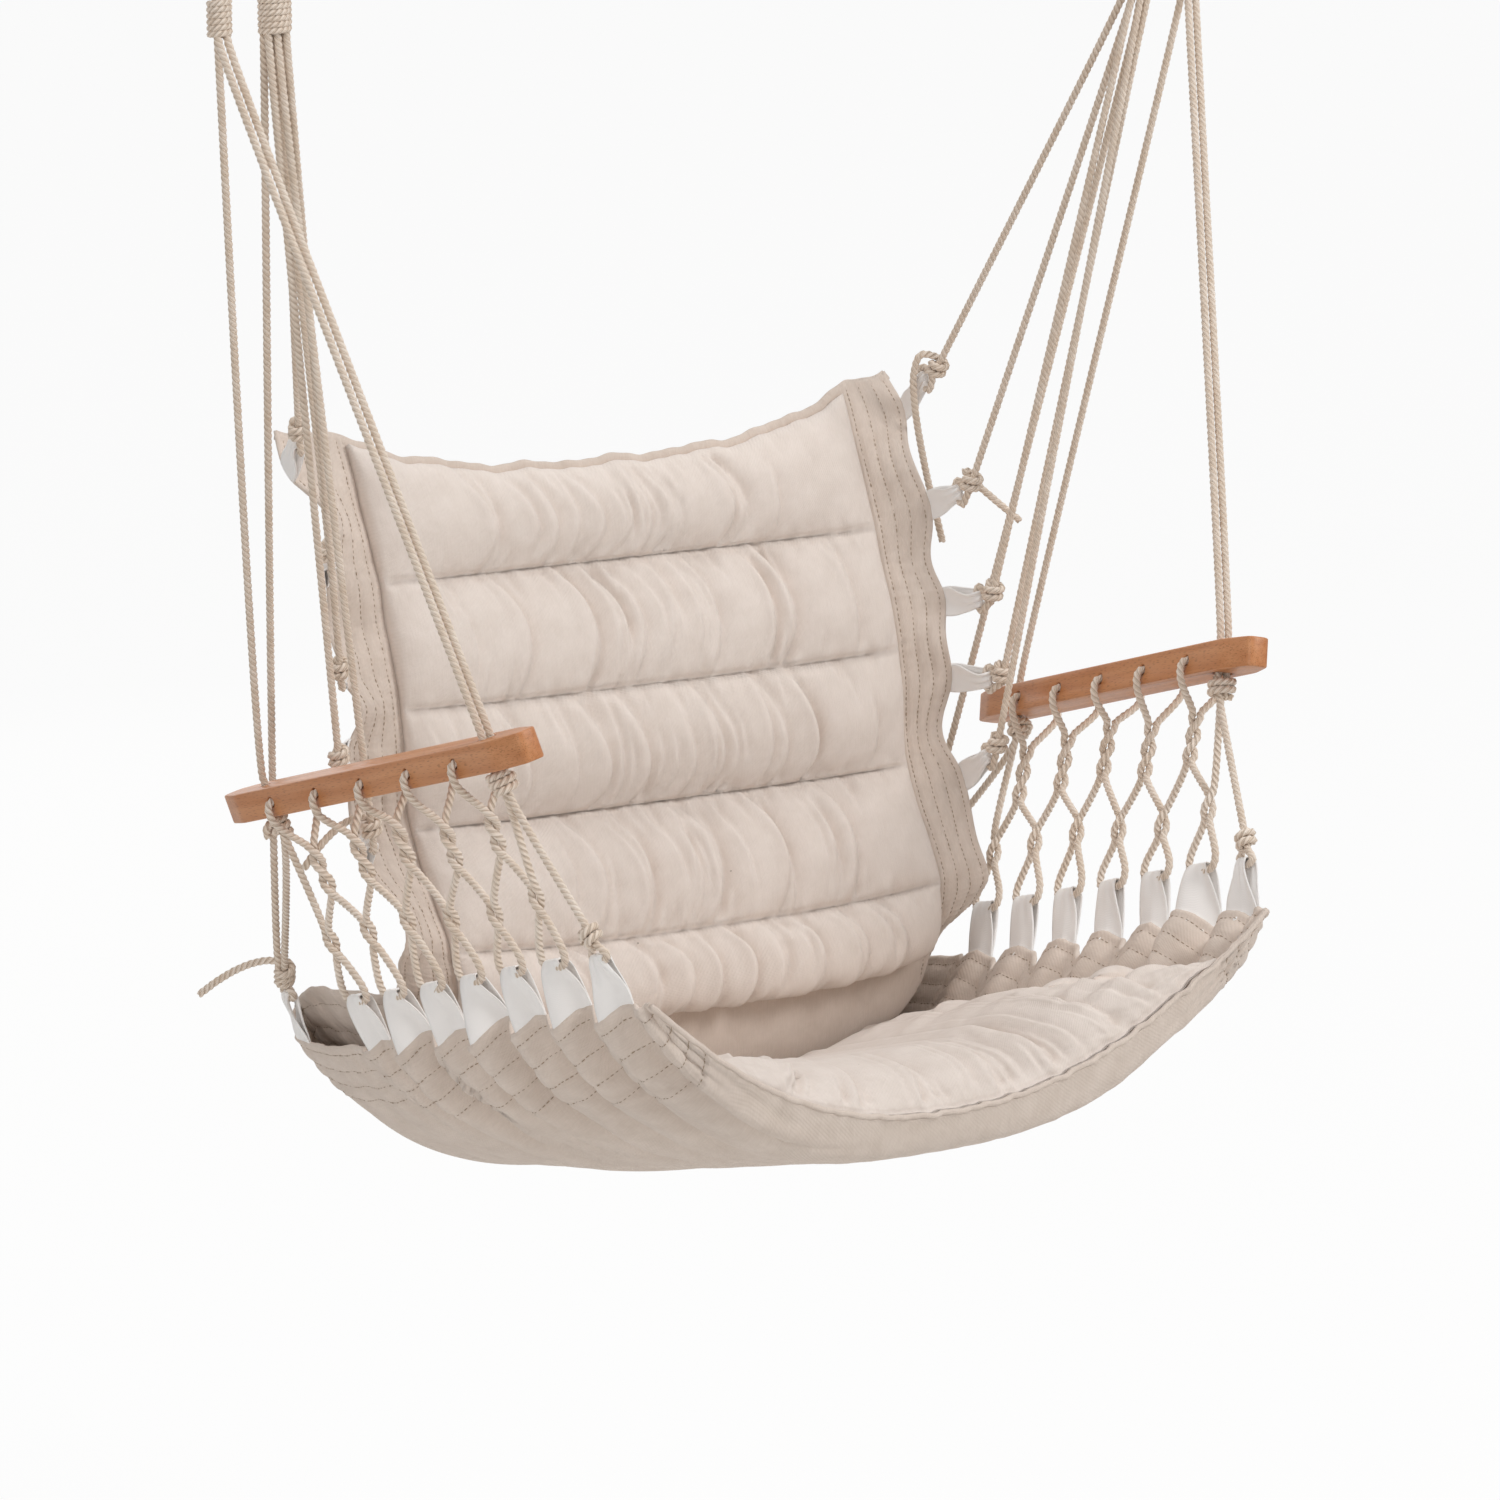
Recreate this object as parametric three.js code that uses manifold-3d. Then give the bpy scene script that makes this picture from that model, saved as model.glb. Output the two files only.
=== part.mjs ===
// A hammock chair that hangs from one ring: a canvas sling with a channelled back pad and a seat pad, two wooden
// armrests, laced rope sides, and ropes that gather under the ends of a wooden spreader bar.
// Millimetres, +Z up. The chair faces -Y, and the origin is the point inside the ring's top where its hook bears.
import * as THREE from 'three';
import { mergeVertices } from 'three/addons/utils/BufferGeometryUtils.js';
import Module from 'manifold-3d';

const wasm = await Module();
wasm.setup();

// Clearances
const seatGap = 0.3;
const linkClearance = 0.6;
const boreClearance = 0.9;
const cutOverrun = 2;

// Ring and suspension
const ringHoleRadius = 18;
const ringWire = 7;
const suspensionRope = 9;
const eyeLeg = 30;
const whippingRadius = 11.5;
const whippingLength = 24;
const crotchKnotRadius = 12;
const suspensionRise = 260;

// Spreader bar, and the bound rope bundles that hang from the bight of rope under each of its ends
const barLength = 900;
const barDiameter = 30;
const barEdge = 3;
const barOverhang = 30;
const barHoleSpacing = 82;
const legBend = 16;
const stopperKnotRadius = 12;
const stopperKnotHeight = 20;
const linkDrop = 26;
const linkBend = 9;
const linkRope = 7;
const linkLeg = 22;
const bundleInset = 20;
const backBundleRadius = 12.5;
const armrestBundleRadius = 9.5;
const bundleLength = 30;

// Chair ropes
const ropeDiameter = 6;
const ropePitch = 7;
const knotRadius = 8.5;
const knotHeight = 15;
const largeKnotRadius = 11.5;
const largeKnotHeight = 19;

// Where the chair's datum, the middle between the armrests, lies from the gathered ropes
const gatherRise = 540;
const hangSetback = 36;

// Armrests
const armrestSpacing = 624;
const armrestLength = 430;
const armrestWidth = 32;
const armrestThickness = 22;
const armrestEdge = 1.5;
const armrestTaperLength = 30;
const armrestTaperDepth = 8;
const armrestForward = 15;
const armrestLift = 20;
const armrestPitch = THREE.MathUtils.degToRad(17);
const armrestToe = THREE.MathUtils.degToRad(3.8);
const armrestRoll = THREE.MathUtils.degToRad(12);
const holeCount = 5;
const holePitch = 67;
const endHoleReach = 162;

// Sling, hems, pads and webbing
const seatDepth = 550;
const frontReach = 305;
const backHeight = 455;
const foldDrop = 225;
const slingHalfWidth = 260;
const slingThickness = 4;
const hemWidth = 44;
const hemThickness = 6;
const padGap = 0.6;
const channelDepth = 34;
const coverThickness = 6;
const seatPadDepth = 60;
const frontRollDepth = 65;
const padRim = 8;
const padEdge = 2;
const weltRadius = 3;
const weltClearance = 1.4;
const scallopDip = 10;
const foldDepth = 7;
const loopWidth = 26;
const loopHeight = 38;
const loopTape = 1;
const backLoopHeight = 30;
const pinchedWidth = 12;
const loopSeat = 0.8;
const loopClearance = 0.9;

// Side lacing
const laceGap = 0.6;
const twistTurns = 1.25;
const twistSteps = 6;
const twistStartShare = 0.25;
const twistEndShare = 0.5;
const crossingShare = 0.7;
const crossingHalfShare = 0.06;
const crossingSteps = 3;
const mouthShare = 0.93;

const ropeRadius = ropeDiameter / 2;
const sides = { left: -1, right: 1 };

const ropeColour = { color: 0xcfc3ae, roughness: 0.9, metalness: 0 };
const woodColour = { color: 0xc98d65, roughness: 0.45, metalness: 0 };
const canvasColour = { color: 0xcdbfb1, roughness: 0.95, metalness: 0 };
const padColour = { color: 0xe6d9cf, roughness: 0.95, metalness: 0 };
const tapeColour = { color: 0xf2f0ef, roughness: 0.6, metalness: 0 };
const steelColour = { color: 0xb8babd, roughness: 0.25, metalness: 1 };

const hammockChair = new THREE.Group();
const chair = new THREE.Group();
hammockChair.add(chair);

function addPiece(group, name, geometry, finish) {
  const mesh = new THREE.Mesh(geometry, new THREE.MeshStandardMaterial(finish));
  mesh.name = name;
  group.add(mesh);
  return mesh;
}

const vec = (x, y, z) => new THREE.Vector3(x, y, z);
const between = (a, b, share) => a.clone().lerp(b, share);
const evenly = (from, to, count) => (
  Array.from({ length: count + 1 }, (unused, index) => from + ((to - from) * index) / count));
const positionsOnly = (geometry) => {
  const bare = geometry.index ? geometry.toNonIndexed() : geometry.clone();
  bare.deleteAttribute('normal');
  bare.deleteAttribute('uv');
  return bare;
};

function meshOf(points, triangles) {
  const geometry = new THREE.BufferGeometry();
  geometry.setAttribute('position', new THREE.Float32BufferAttribute(points.flatMap((p) => p.toArray()), 3));
  geometry.setIndex(triangles);
  return geometry;
}

// Solids, for cutting holes and for joining what is one piece

function asSolid(geometry) {
  const merged = mergeVertices(positionsOnly(geometry));
  return new wasm.Manifold(new wasm.Mesh({
    numProp: 3,
    vertProperties: new Float32Array(merged.attributes.position.array),
    triVerts: new Uint32Array(merged.index.array),
  }));
}

function asGeometry(solid) {
  const mesh = solid.getMesh();
  const geometry = new THREE.BufferGeometry();
  geometry.setAttribute('position', new THREE.BufferAttribute(mesh.vertProperties, 3));
  geometry.setIndex(new THREE.BufferAttribute(mesh.triVerts, 1));
  return geometry;
}

function fused(...geometries) {
  return asGeometry(geometries.map(asSolid).reduce((body, solid) => body.add(solid)));
}

function drilled(body, ...cutters) {
  return asGeometry(cutters.map(asSolid).reduce((rest, cutter) => rest.subtract(cutter), asSolid(body)));
}

// Ropes

// A rope's route sets its section exactly at each of the route's points
class Route extends THREE.Curve {
  constructor(points) {
    super();
    this.points = points;
  }

  getPoint(t, target = new THREE.Vector3()) {
    const last = this.points.length - 1;
    const index = Math.min(Math.floor(t * last), last - 1);
    return target.lerpVectors(this.points[index], this.points[index + 1], t * last - index);
  }

  getPointAt(t, target) {
    return this.getPoint(t, target);
  }

  getTangentAt(t, target = new THREE.Vector3()) {
    const last = this.points.length - 1;
    const index = Math.round(t * last);
    const before = this.points[Math.max(index - 1, 0)];
    const after = this.points[Math.min(index + 1, last)];
    return target.subVectors(after, before).normalize();
  }
}

function tube(points, radius, facets) {
  const corners = Array.from({ length: facets }, (unused, corner) => {
    const angle = (corner / facets) * 2 * Math.PI;
    return new THREE.Vector2(radius * Math.cos(angle), radius * Math.sin(angle));
  });
  return new THREE.ExtrudeGeometry(new THREE.Shape(corners), {
    steps: points.length - 1,
    bevelEnabled: false,
    extrudePath: new Route(points),
  });
}

const ropeFacets = 6;
const laceFacets = 5;
const weltFacets = 5;
const rod = (from, to, radius) => tube([from, to], radius, ropeFacets);

// A bound rope collar or a knot: turns of rope round an upright axis, with a groove between them
function boundCollar(radius, length, turns, groove, facets) {
  const profile = [new THREE.Vector2(0, -length / 2)];
  for (let turn = 0; turn < turns; turn += 1) {
    const low = -length / 2 + (length * turn) / turns;
    const pitch = length / turns;
    profile.push(new THREE.Vector2(radius - groove, low));
    profile.push(new THREE.Vector2(radius, low + pitch / 2));
  }
  profile.push(new THREE.Vector2(radius - groove, length / 2));
  profile.push(new THREE.Vector2(0, length / 2));
  const collar = new THREE.LatheGeometry(profile, facets);
  return collar.rotateX(Math.PI / 2);
}

// A knot's rounded body, with a waist groove between its two turns
const knotShares = [[0, -1], [0.6, -0.8], [0.92, -0.39], [0.8, 0], [0.92, 0.39], [0.6, 0.8], [0, 1]];
const knotFacets = 7;

function knotBody(radius, height) {
  const profile = knotShares.map(([out, up]) => new THREE.Vector2(out * radius, (up * height) / 2));
  return new THREE.LatheGeometry(profile, knotFacets).rotateX(Math.PI / 2);
}

// Turns a piece that is built upright so that it stands along a direction, at a point
function standing(geometry, direction, at) {
  const turn = new THREE.Quaternion().setFromUnitVectors(vec(0, 0, 1), direction.clone().normalize());
  return geometry.applyQuaternion(turn).translate(at.x, at.y, at.z);
}

// A bight of rope round a link: two legs that draw together, and a half turn, in the plane across and up
const bightFacets = 8;
const bightArcSteps = 8;

function bight(across, up, centre, radius, leg, legSpacing, thickness) {
  const point = (out, rise) => centre.clone().addScaledVector(across, out).addScaledVector(up, rise);
  const route = [point(-legSpacing / 2, -leg), point(-legSpacing / 2, thickness - leg)];
  for (let step = 0; step <= bightArcSteps; step += 1) {
    const angle = Math.PI - (step / bightArcSteps) * Math.PI;
    route.push(point(radius * Math.cos(angle), radius * Math.sin(angle)));
  }
  route.push(point(legSpacing / 2, thickness - leg), point(legSpacing / 2, -leg));
  return tube(route, thickness / 2, bightFacets);
}

// Ring: a closed wire ring in the plane that faces the sitter
const ringFacets = 24;
const wireFacets = 8;
const ringRadius = ringHoleRadius + ringWire / 2;
const swingLevel = -ringHoleRadius - ringRadius;
const ring = addPiece(hammockChair, 'hanging_ring',
  new THREE.TorusGeometry(ringRadius, ringWire / 2, wireFacets, ringFacets), steelColour);
ring.rotation.x = Math.PI / 2;
ring.position.z = -ringHoleRadius;

// Rope eye: a bight of the suspension rope round the ring, bound under it
const eyeRadius = ringWire / 2 + linkClearance + suspensionRope / 2;
const eyeSpacing = suspensionRope + linkClearance;
addPiece(hammockChair, 'ring_rope_eye',
  bight(vec(0, 1, 0), vec(0, 0, 1), vec(0, 0, swingLevel), eyeRadius, eyeLeg, eyeSpacing, suspensionRope),
  ropeColour);

const collarTurns = 4;
const collarFacets = 14;
const collarGroove = 1.2;
const whippingTop = swingLevel - eyeLeg - seatGap;
addPiece(hammockChair, 'eye_whipping',
  boundCollar(whippingRadius, whippingLength, collarTurns, collarGroove, collarFacets)
    .translate(0, 0, whippingTop - whippingLength / 2),
  ropeColour);

// Knot where the two suspension legs part, and the legs down through the bar's ends
const swayLevel = whippingTop - whippingLength - seatGap - crotchKnotRadius;
addPiece(hammockChair, 'crotch_knot',
  knotBody(crotchKnotRadius, 2 * crotchKnotRadius).translate(0, 0, swayLevel), ropeColour);

const barLevel = swayLevel - suspensionRise;
const barTop = barLevel + barDiameter / 2;
const barUnderside = barLevel - barDiameter / 2;
const outerHoleReach = barLength / 2 - barOverhang;
const innerHoleReach = outerHoleReach - barHoleSpacing;
const armrestBundleReach = outerHoleReach - bundleInset;
const backBundleReach = innerHoleReach + bundleInset;
const legBoreRadius = suspensionRope / 2 + boreClearance;
const legStations = 4;

const barProfile = [
  [0, -barLength / 2], [barDiameter / 2 - barEdge, -barLength / 2], [barDiameter / 2, barEdge - barLength / 2],
  [barDiameter / 2, barLength / 2 - barEdge], [barDiameter / 2 - barEdge, barLength / 2], [0, barLength / 2],
].map(([out, along]) => new THREE.Vector2(out, along));
const barFacets = 20;
const boreFacets = 10;
const boreThrough = (radius, length) => new THREE.CylinderGeometry(radius, radius, length + cutOverrun, boreFacets);
const barBores = Object.values(sides).flatMap((side) => [outerHoleReach, innerHoleReach].map((reach) => (
  boreThrough(legBoreRadius, barDiameter).rotateX(Math.PI / 2).translate(side * reach, 0, 0))));
const bar = addPiece(hammockChair, 'spreader_bar',
  drilled(new THREE.LatheGeometry(barProfile, barFacets).rotateZ(Math.PI / 2), ...barBores), woodColour);
bar.position.z = barLevel;

const stopperCentre = barTop + seatGap + stopperKnotHeight / 2;
const rockLevel = barUnderside - linkDrop;
const linkRadius = (suspensionRope + linkRope) / 2 + linkClearance;
const linkSpacing = linkRope + linkClearance;
const bundleTop = rockLevel - linkLeg;
const gatherLevel = bundleTop - bundleLength;
const linkBendSteps = 3;
const bundles = {
  back: { reach: backBundleReach, radius: backBundleRadius },
  armrest: { reach: armrestBundleReach, radius: armrestBundleRadius },
};

for (const [name, side] of Object.entries(sides)) {
  // One rope from the crotch knot down through the bar's outer hole and up through its inner one to a stopper knot
  const mouth = vec(side * outerHoleReach, 0, barTop + legBend);
  const crotch = vec(0, 0, swayLevel);
  const legWay = mouth.clone().sub(crotch).normalize();
  const start = crotch.clone().addScaledVector(legWay, crotchKnotRadius + seatGap);
  const route = evenly(0, 1, legStations).slice(0, -1).map((share) => between(start, mouth, share));
  route.push(mouth.clone().addScaledVector(legWay, -legBend));
  route.push(vec(mouth.x, 0, barTop + legBend / 2));
  route.push(vec(mouth.x, 0, barTop));
  const corner = (reach, inward) => evenly(0, Math.PI / 2, linkBendSteps).map((turn) => (
    vec(side * (reach - inward * linkBend * (1 - Math.cos(turn))), 0, rockLevel + linkBend * (1 - Math.sin(turn)))));
  route.push(...corner(outerHoleReach, 1), ...corner(innerHoleReach, -1).reverse());
  route.push(vec(side * innerHoleReach, 0, stopperCentre));
  addPiece(hammockChair, `suspension_rope_${name}`, fused(
    tube(route, suspensionRope / 2, ropeFacets),
    knotBody(stopperKnotRadius, stopperKnotHeight).translate(side * innerHoleReach, 0, stopperCentre),
  ), ropeColour);

  // A bundle is an eye round that rope's bight with a bound collar under it
  for (const [kind, { reach, radius }] of Object.entries(bundles)) {
    const eye = bight(vec(0, 1, 0), vec(0, 0, 1), vec(side * reach, 0, rockLevel), linkRadius,
      linkLeg + bundleLength / 2, linkSpacing, linkRope);
    const collar = boundCollar(radius, bundleLength, collarTurns, collarGroove, collarFacets)
      .translate(side * reach, 0, bundleTop - bundleLength / 2);
    addPiece(hammockChair, `${kind}_rope_bundle_${name}`, fused(eye, collar), ropeColour);
  }
}

// From here on places are measured from the chair's datum
chair.position.set(0, -hangSetback, gatherLevel - gatherRise);

// The sling's lengthwise path, from its top edge down the back, round the fold and forward under the seat to the
// edge that turns up before the seat pad.
// Each row gives the side edge and then the middle, as shares of the seat's depth and the back's height.
const slingPathShares = [
  [0.996, 1.000, 0.958, 0.872], [0.855, 0.727, 0.915, 0.708], [0.813, 0.534, 0.831, 0.516],
  [0.787, 0.336, 0.805, 0.323], [0.685, 0.198, 0.709, 0.149], [0.729, 0.116, 0.675, 0.044],
  [0.878, 0.073, 0.809, -0.090], [0.991, 0.046, 0.969, -0.220], [1.020, 0.009, 1.024, -0.266],
  [0.991, -0.029, 0.991, -0.310], [0.864, -0.011, 0.864, -0.279], [0.727, 0.033, 0.727, -0.240],
  [0.582, 0.086, 0.573, -0.196], [0.436, 0.143, 0.418, -0.140], [0.291, 0.200, 0.273, -0.088],
  [0.145, 0.255, 0.118, -0.032], [0.018, 0.300, -0.018, 0.020], [0.006, 0.307, -0.038, 0.076],
];
const lastRow = slingPathShares.length - 1;
const turnUpRow = lastRow - 1;
const backEndRow = 8;
const channelCount = 5;
const widthShares = [1, 1, 1, 1, 0.985, 0.946, 0.94, 0.945, 0.96, 0.985, 1, 1, 1, 1, 1, 1, 0.98, 0.975];

const pathPoint = (depthShare, heightShare) => (
  vec(0, -frontReach + depthShare * seatDepth, -foldDrop + heightShare * backHeight));
const edgePath = new THREE.CatmullRomCurve3(slingPathShares.map((row) => pathPoint(row[0], row[1])));
const middlePath = new THREE.CatmullRomCurve3(slingPathShares.map((row) => pathPoint(row[2], row[3])));

function slingWidth(row) {
  const index = Math.min(Math.floor(row), lastRow - 1);
  return slingHalfWidth * THREE.MathUtils.lerp(widthShares[index], widthShares[index + 1], row - index);
}

// Webbing loops: five on each back hem and eight on each seat hem, one of them at the fold
const backLoopRows = [0.27, 0.89, 1.66, 2.31, 3.17];
const foldLoopRow = 9.25;
const seatLoopCount = 7;
const firstSeatLoopRow = 11;
const seatLoopRowStep = 0.75;
const loopBaseShare = 0.24;
const seatLoopRow = (index) => firstSeatLoopRow + index * seatLoopRowStep;
const lastSeatLoopRow = seatLoopRow(seatLoopCount - 1);

// How far a seat hem has sagged between two loops, as a share, with a level stretch under each loop
function scallop(row) {
  if (row <= firstSeatLoopRow || row >= lastSeatLoopRow) {
    return 0;
  }
  const phase = ((row - firstSeatLoopRow) / seatLoopRowStep) % 1;
  const between = THREE.MathUtils.clamp((phase - loopBaseShare) / (1 - 2 * loopBaseShare), 0, 1);
  return Math.sin(Math.PI * between) ** 2;
}

const slingBowl = 2.9;
const turnUpBowl = 2.2;
const scallopStart = 0.55;

function slingMiddleSurface(across, row) {
  const bowl = THREE.MathUtils.lerp(slingBowl, turnUpBowl, THREE.MathUtils.clamp(row - turnUpRow, 0, 1));
  const share = Math.abs(across);
  const point = between(middlePath.getPoint(row / lastRow), edgePath.getPoint(row / lastRow), share ** bowl);
  const sag = scallop(row) * THREE.MathUtils.smoothstep(share, scallopStart, 1);
  point.x = across * slingWidth(row) - Math.sign(across) * foldDepth * sag;
  point.z -= scallopDip * sag;
  return point;
}

const probe = 0.004;

// A point on the sling, or at an offset from it towards the sitter
function slingPoint(across, row, offset = 0) {
  const lowRow = Math.max(row - probe, 0);
  const highRow = Math.min(row + probe, lastRow);
  const alongRows = slingMiddleSurface(across, highRow).sub(slingMiddleSurface(across, lowRow));
  const alongWidth = slingMiddleSurface(across + probe, row).sub(slingMiddleSurface(across - probe, row));
  const inward = alongRows.cross(alongWidth).normalize();
  return slingMiddleSurface(across, row).addScaledVector(inward, offset);
}

// A closed sheet between two surfaces over the same grid of places across the sling and along its rows
function layer(acrossList, rowList, innerPoint, outerPoint) {
  const columns = acrossList.length;
  const rows = rowList.length;
  const grid = (pointAt) => rowList.flatMap((row) => acrossList.map((across) => pointAt(across, row)));
  const points = [...grid(innerPoint), ...grid(outerPoint)];
  const outerStart = columns * rows;
  const triangles = [];
  const quad = (a, b, c, d) => triangles.push(a, b, c, a, c, d);
  for (let row = 0; row < rows - 1; row += 1) {
    for (let column = 0; column < columns - 1; column += 1) {
      const corner = row * columns + column;
      quad(corner, corner + columns, corner + columns + 1, corner + 1);
      quad(outerStart + corner, outerStart + corner + 1, outerStart + corner + columns + 1,
        outerStart + corner + columns);
    }
  }
  const rim = (from, to) => quad(from, to, outerStart + to, outerStart + from);
  for (let column = 0; column < columns - 1; column += 1) {
    rim(column, column + 1);
    rim((rows - 1) * columns + column + 1, (rows - 1) * columns + column);
  }
  for (let row = 0; row < rows - 1; row += 1) {
    rim((row + 1) * columns, row * columns);
    rim(row * columns + columns - 1, (row + 1) * columns + columns - 1);
  }
  return meshOf(points, triangles);
}

// Rows of the grid: in each back channel, round the fold, and at each seat loop and midway to the next
const channelRowShares = [0, 0.14, 0.5, 0.86];
const cushionRows = evenly(0, channelCount - 1, channelCount - 1)
  .flatMap((channel) => channelRowShares.map((share) => channel + share));
cushionRows.push(channelCount);
const foldSteps = 5;
const foldRows = evenly(channelCount, backEndRow, foldSteps).slice(1, -1);
const slingSplitRow = 0.02;
const backRows = [...cushionRows, ...foldRows, backEndRow - slingSplitRow];
const loopHalfStep = seatLoopRowStep * loopBaseShare;
const seatLoopRows = evenly(firstSeatLoopRow, lastSeatLoopRow, seatLoopCount - 1);
const scallopRows = seatLoopRows
  .flatMap((row) => [row - loopHalfStep, row + loopHalfStep, row + seatLoopRowStep / 2]).slice(0, -1);
const seatRows = [
  backEndRow, (backEndRow + foldLoopRow) / 2, foldLoopRow - loopHalfStep, foldLoopRow + loopHalfStep,
  firstSeatLoopRow - 1, ...scallopRows, (lastSeatLoopRow + loopHalfStep + turnUpRow) / 2, turnUpRow,
  (turnUpRow + lastRow) / 2, lastRow,
];

// Columns of the grid: the pads' own places, and the thick hem at each side
const hemShare = 1 - hemWidth / slingHalfWidth;
const hemStepShare = hemThickness / slingHalfWidth;
const padShare = hemShare - 2 * hemStepShare;
const padAcross = [-1, -0.9, -0.62, -0.3, 0, 0.3, 0.62, 0.9, 1].map((share) => share * padShare);
const hemAcross = [hemShare - hemStepShare, hemShare, 1];
const slingAcross = [...hemAcross.map((share) => -share).reverse(), ...padAcross, ...hemAcross];
const clothHalf = (across) => (Math.abs(across) < hemShare ? slingThickness : hemThickness) / 2;
const cloth = (rowList) => layer(slingAcross, rowList,
  (across, row) => slingPoint(across, row, clothHalf(across)),
  (across, row) => slingPoint(across, row, -clothHalf(across)));

addPiece(chair, 'back_sling', cloth(backRows), canvasColour);
addPiece(chair, 'seat_sling', cloth(seatRows), canvasColour);

// Each pad is a quilted cover over loose filling. It is sewn down to the sling round its edge and along its seams, so
// the solid is the cover alone, open on its underside.
const padBase = slingThickness / 2 + padGap;
const drawnIn = (share) => Math.sqrt(1 - Math.min(Math.abs(share), 1) ** 6);

function padCover(rowList, surface) {
  const atEdge = (across, row) => (
    Math.abs(across) === padAcross.at(-1) || row === rowList[0] || row === rowList.at(-1));
  return layer(padAcross, rowList, (across, row) => surface(across, row, 0), (across, row) => (
    atEdge(across, row) ? slingPoint(across, row, padBase) : surface(across, row, coverThickness)));
}

// Back pad: five sewn channels that bulge towards the sitter, drawn in at the seams and at both sides
function channelThickness(across, row) {
  const phase = row === channelCount ? 0 : row % 1;
  const swell = Math.sqrt(1 - (2 * phase - 1) ** 2);
  return coverThickness + (channelDepth - coverThickness) * swell * drawnIn(across / padShare);
}

addPiece(chair, 'back_cushion', padCover(cushionRows, (across, row, inset) => (
  slingPoint(across, row, padBase + channelThickness(across, row) - inset))), padColour);

// Seat pad: crowned, thin at its rear and sides, with a full round roll along its front
const seatPadRows = seatRows.filter((row) => row > firstSeatLoopRow);
const rollRow = lastSeatLoopRow;
const seatPadRun = rollRow - firstSeatLoopRow;
const rearRiseShare = 0.3;

function seatPadThickness(across, row) {
  const run = Math.min((row - firstSeatLoopRow) / seatPadRun, 1);
  const rise = 1 - Math.min(run / rearRiseShare, 1);
  const depth = THREE.MathUtils.lerp(seatPadDepth, frontRollDepth, run) - padRim;
  return padRim + depth * Math.sqrt(1 - rise ** 2) * drawnIn(across / padShare);
}

// The pad's upper face at an inset from it. Its front turns down along a quarter of an ellipse to the sling's edge.
function seatPadSurface(across, row, inset) {
  if (row <= rollRow) {
    return slingPoint(across, row, padBase + seatPadThickness(across, row) - inset);
  }
  const crest = slingPoint(across, rollRow, padBase + seatPadThickness(across, rollRow));
  const front = slingPoint(across, lastRow, padBase + padEdge);
  const up = crest.clone().sub(slingPoint(across, rollRow)).normalize();
  const drop = crest.clone().sub(front).dot(up);
  const centre = crest.clone().addScaledVector(up, -drop);
  const reach = front.sub(centre);
  const turn = (((row - rollRow) / (lastRow - rollRow)) * Math.PI) / 2;
  return centre.addScaledVector(up, (drop - inset) * Math.cos(turn))
    .addScaledVector(reach.clone().normalize(), (reach.length() - inset) * Math.sin(turn));
}

addPiece(chair, 'seat_cushion', padCover(seatPadRows, seatPadSurface), padColour);

// The welt cord along the sling's front edge
const edgeProbe = 0.01;
const weltRoute = slingAcross.map((across) => {
  const edge = slingPoint(across, lastRow);
  const alongEdge = slingPoint(across + edgeProbe, lastRow).sub(slingPoint(across - edgeProbe, lastRow)).normalize();
  const way = edge.clone().sub(slingPoint(across, lastRow - edgeProbe));
  way.addScaledVector(alongEdge, -way.dot(alongEdge)).normalize();
  return edge.addScaledVector(way, weltRadius + weltClearance);
});
addPiece(chair, 'seat_front_welt', tube(weltRoute, weltRadius, weltFacets), canvasColour);

// Webbing loops

const loopOpening = ropeRadius + loopClearance + loopTape;
const loopRopeRise = loopSeat + loopHeight - loopTape / 2 - loopClearance - ropeRadius;
// The folded tape seen along its width: how far out from its middle plane, and how high, as shares
const tapeShares = [
  [-0.35, 0], [-0.95, 0.5], [-1, 0.86], [-0.7, 0.96], [0, 1], [0.7, 0.96], [1, 0.86], [0.95, 0.5], [0.35, 0],
];
const tapeCorners = [[1, 1], [1, -1], [-1, -1], [-1, 1]];

// A tape loop that stands on a hem's edge, with the tape's width at its fold given apart from that at its base
function tapeLoop(base, along, up, height, foldWidth) {
  const out = along.clone().cross(up);
  const stations = tapeShares.map(([outShare, upShare], index) => {
    const before = tapeShares[Math.max(index - 1, 0)];
    const after = tapeShares[Math.min(index + 1, tapeShares.length - 1)];
    const run = new THREE.Vector2((after[0] - before[0]) * loopOpening, (after[1] - before[1]) * height).normalize();
    const atEnd = index === 0 || index === tapeShares.length - 1;
    const square = atEnd ? new THREE.Vector2(-Math.sign(run.y), 0) : new THREE.Vector2(-run.y, run.x);
    const halfWidth = THREE.MathUtils.lerp(loopWidth, foldWidth, upShare) / 2;
    return tapeCorners.map(([face, edge]) => base.clone()
      .addScaledVector(out, outShare * loopOpening + (square.x * face * loopTape) / 2)
      .addScaledVector(up, loopSeat + upShare * height + (square.y * face * loopTape) / 2)
      .addScaledVector(along, edge * halfWidth));
  });
  const triangles = [];
  for (let start = 0; start < 4 * (stations.length - 1); start += 4) {
    for (let corner = 0; corner < 4; corner += 1) {
      const a = start + corner;
      const b = start + ((corner + 1) % 4);
      triangles.push(a, b, b + 4, a, b + 4, a + 4);
    }
  }
  const end = 4 * (stations.length - 1);
  triangles.push(0, 2, 1, 0, 3, 2, end, end + 1, end + 2, end, end + 2, end + 3);
  return meshOf(stations.flat(), triangles);
}

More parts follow.
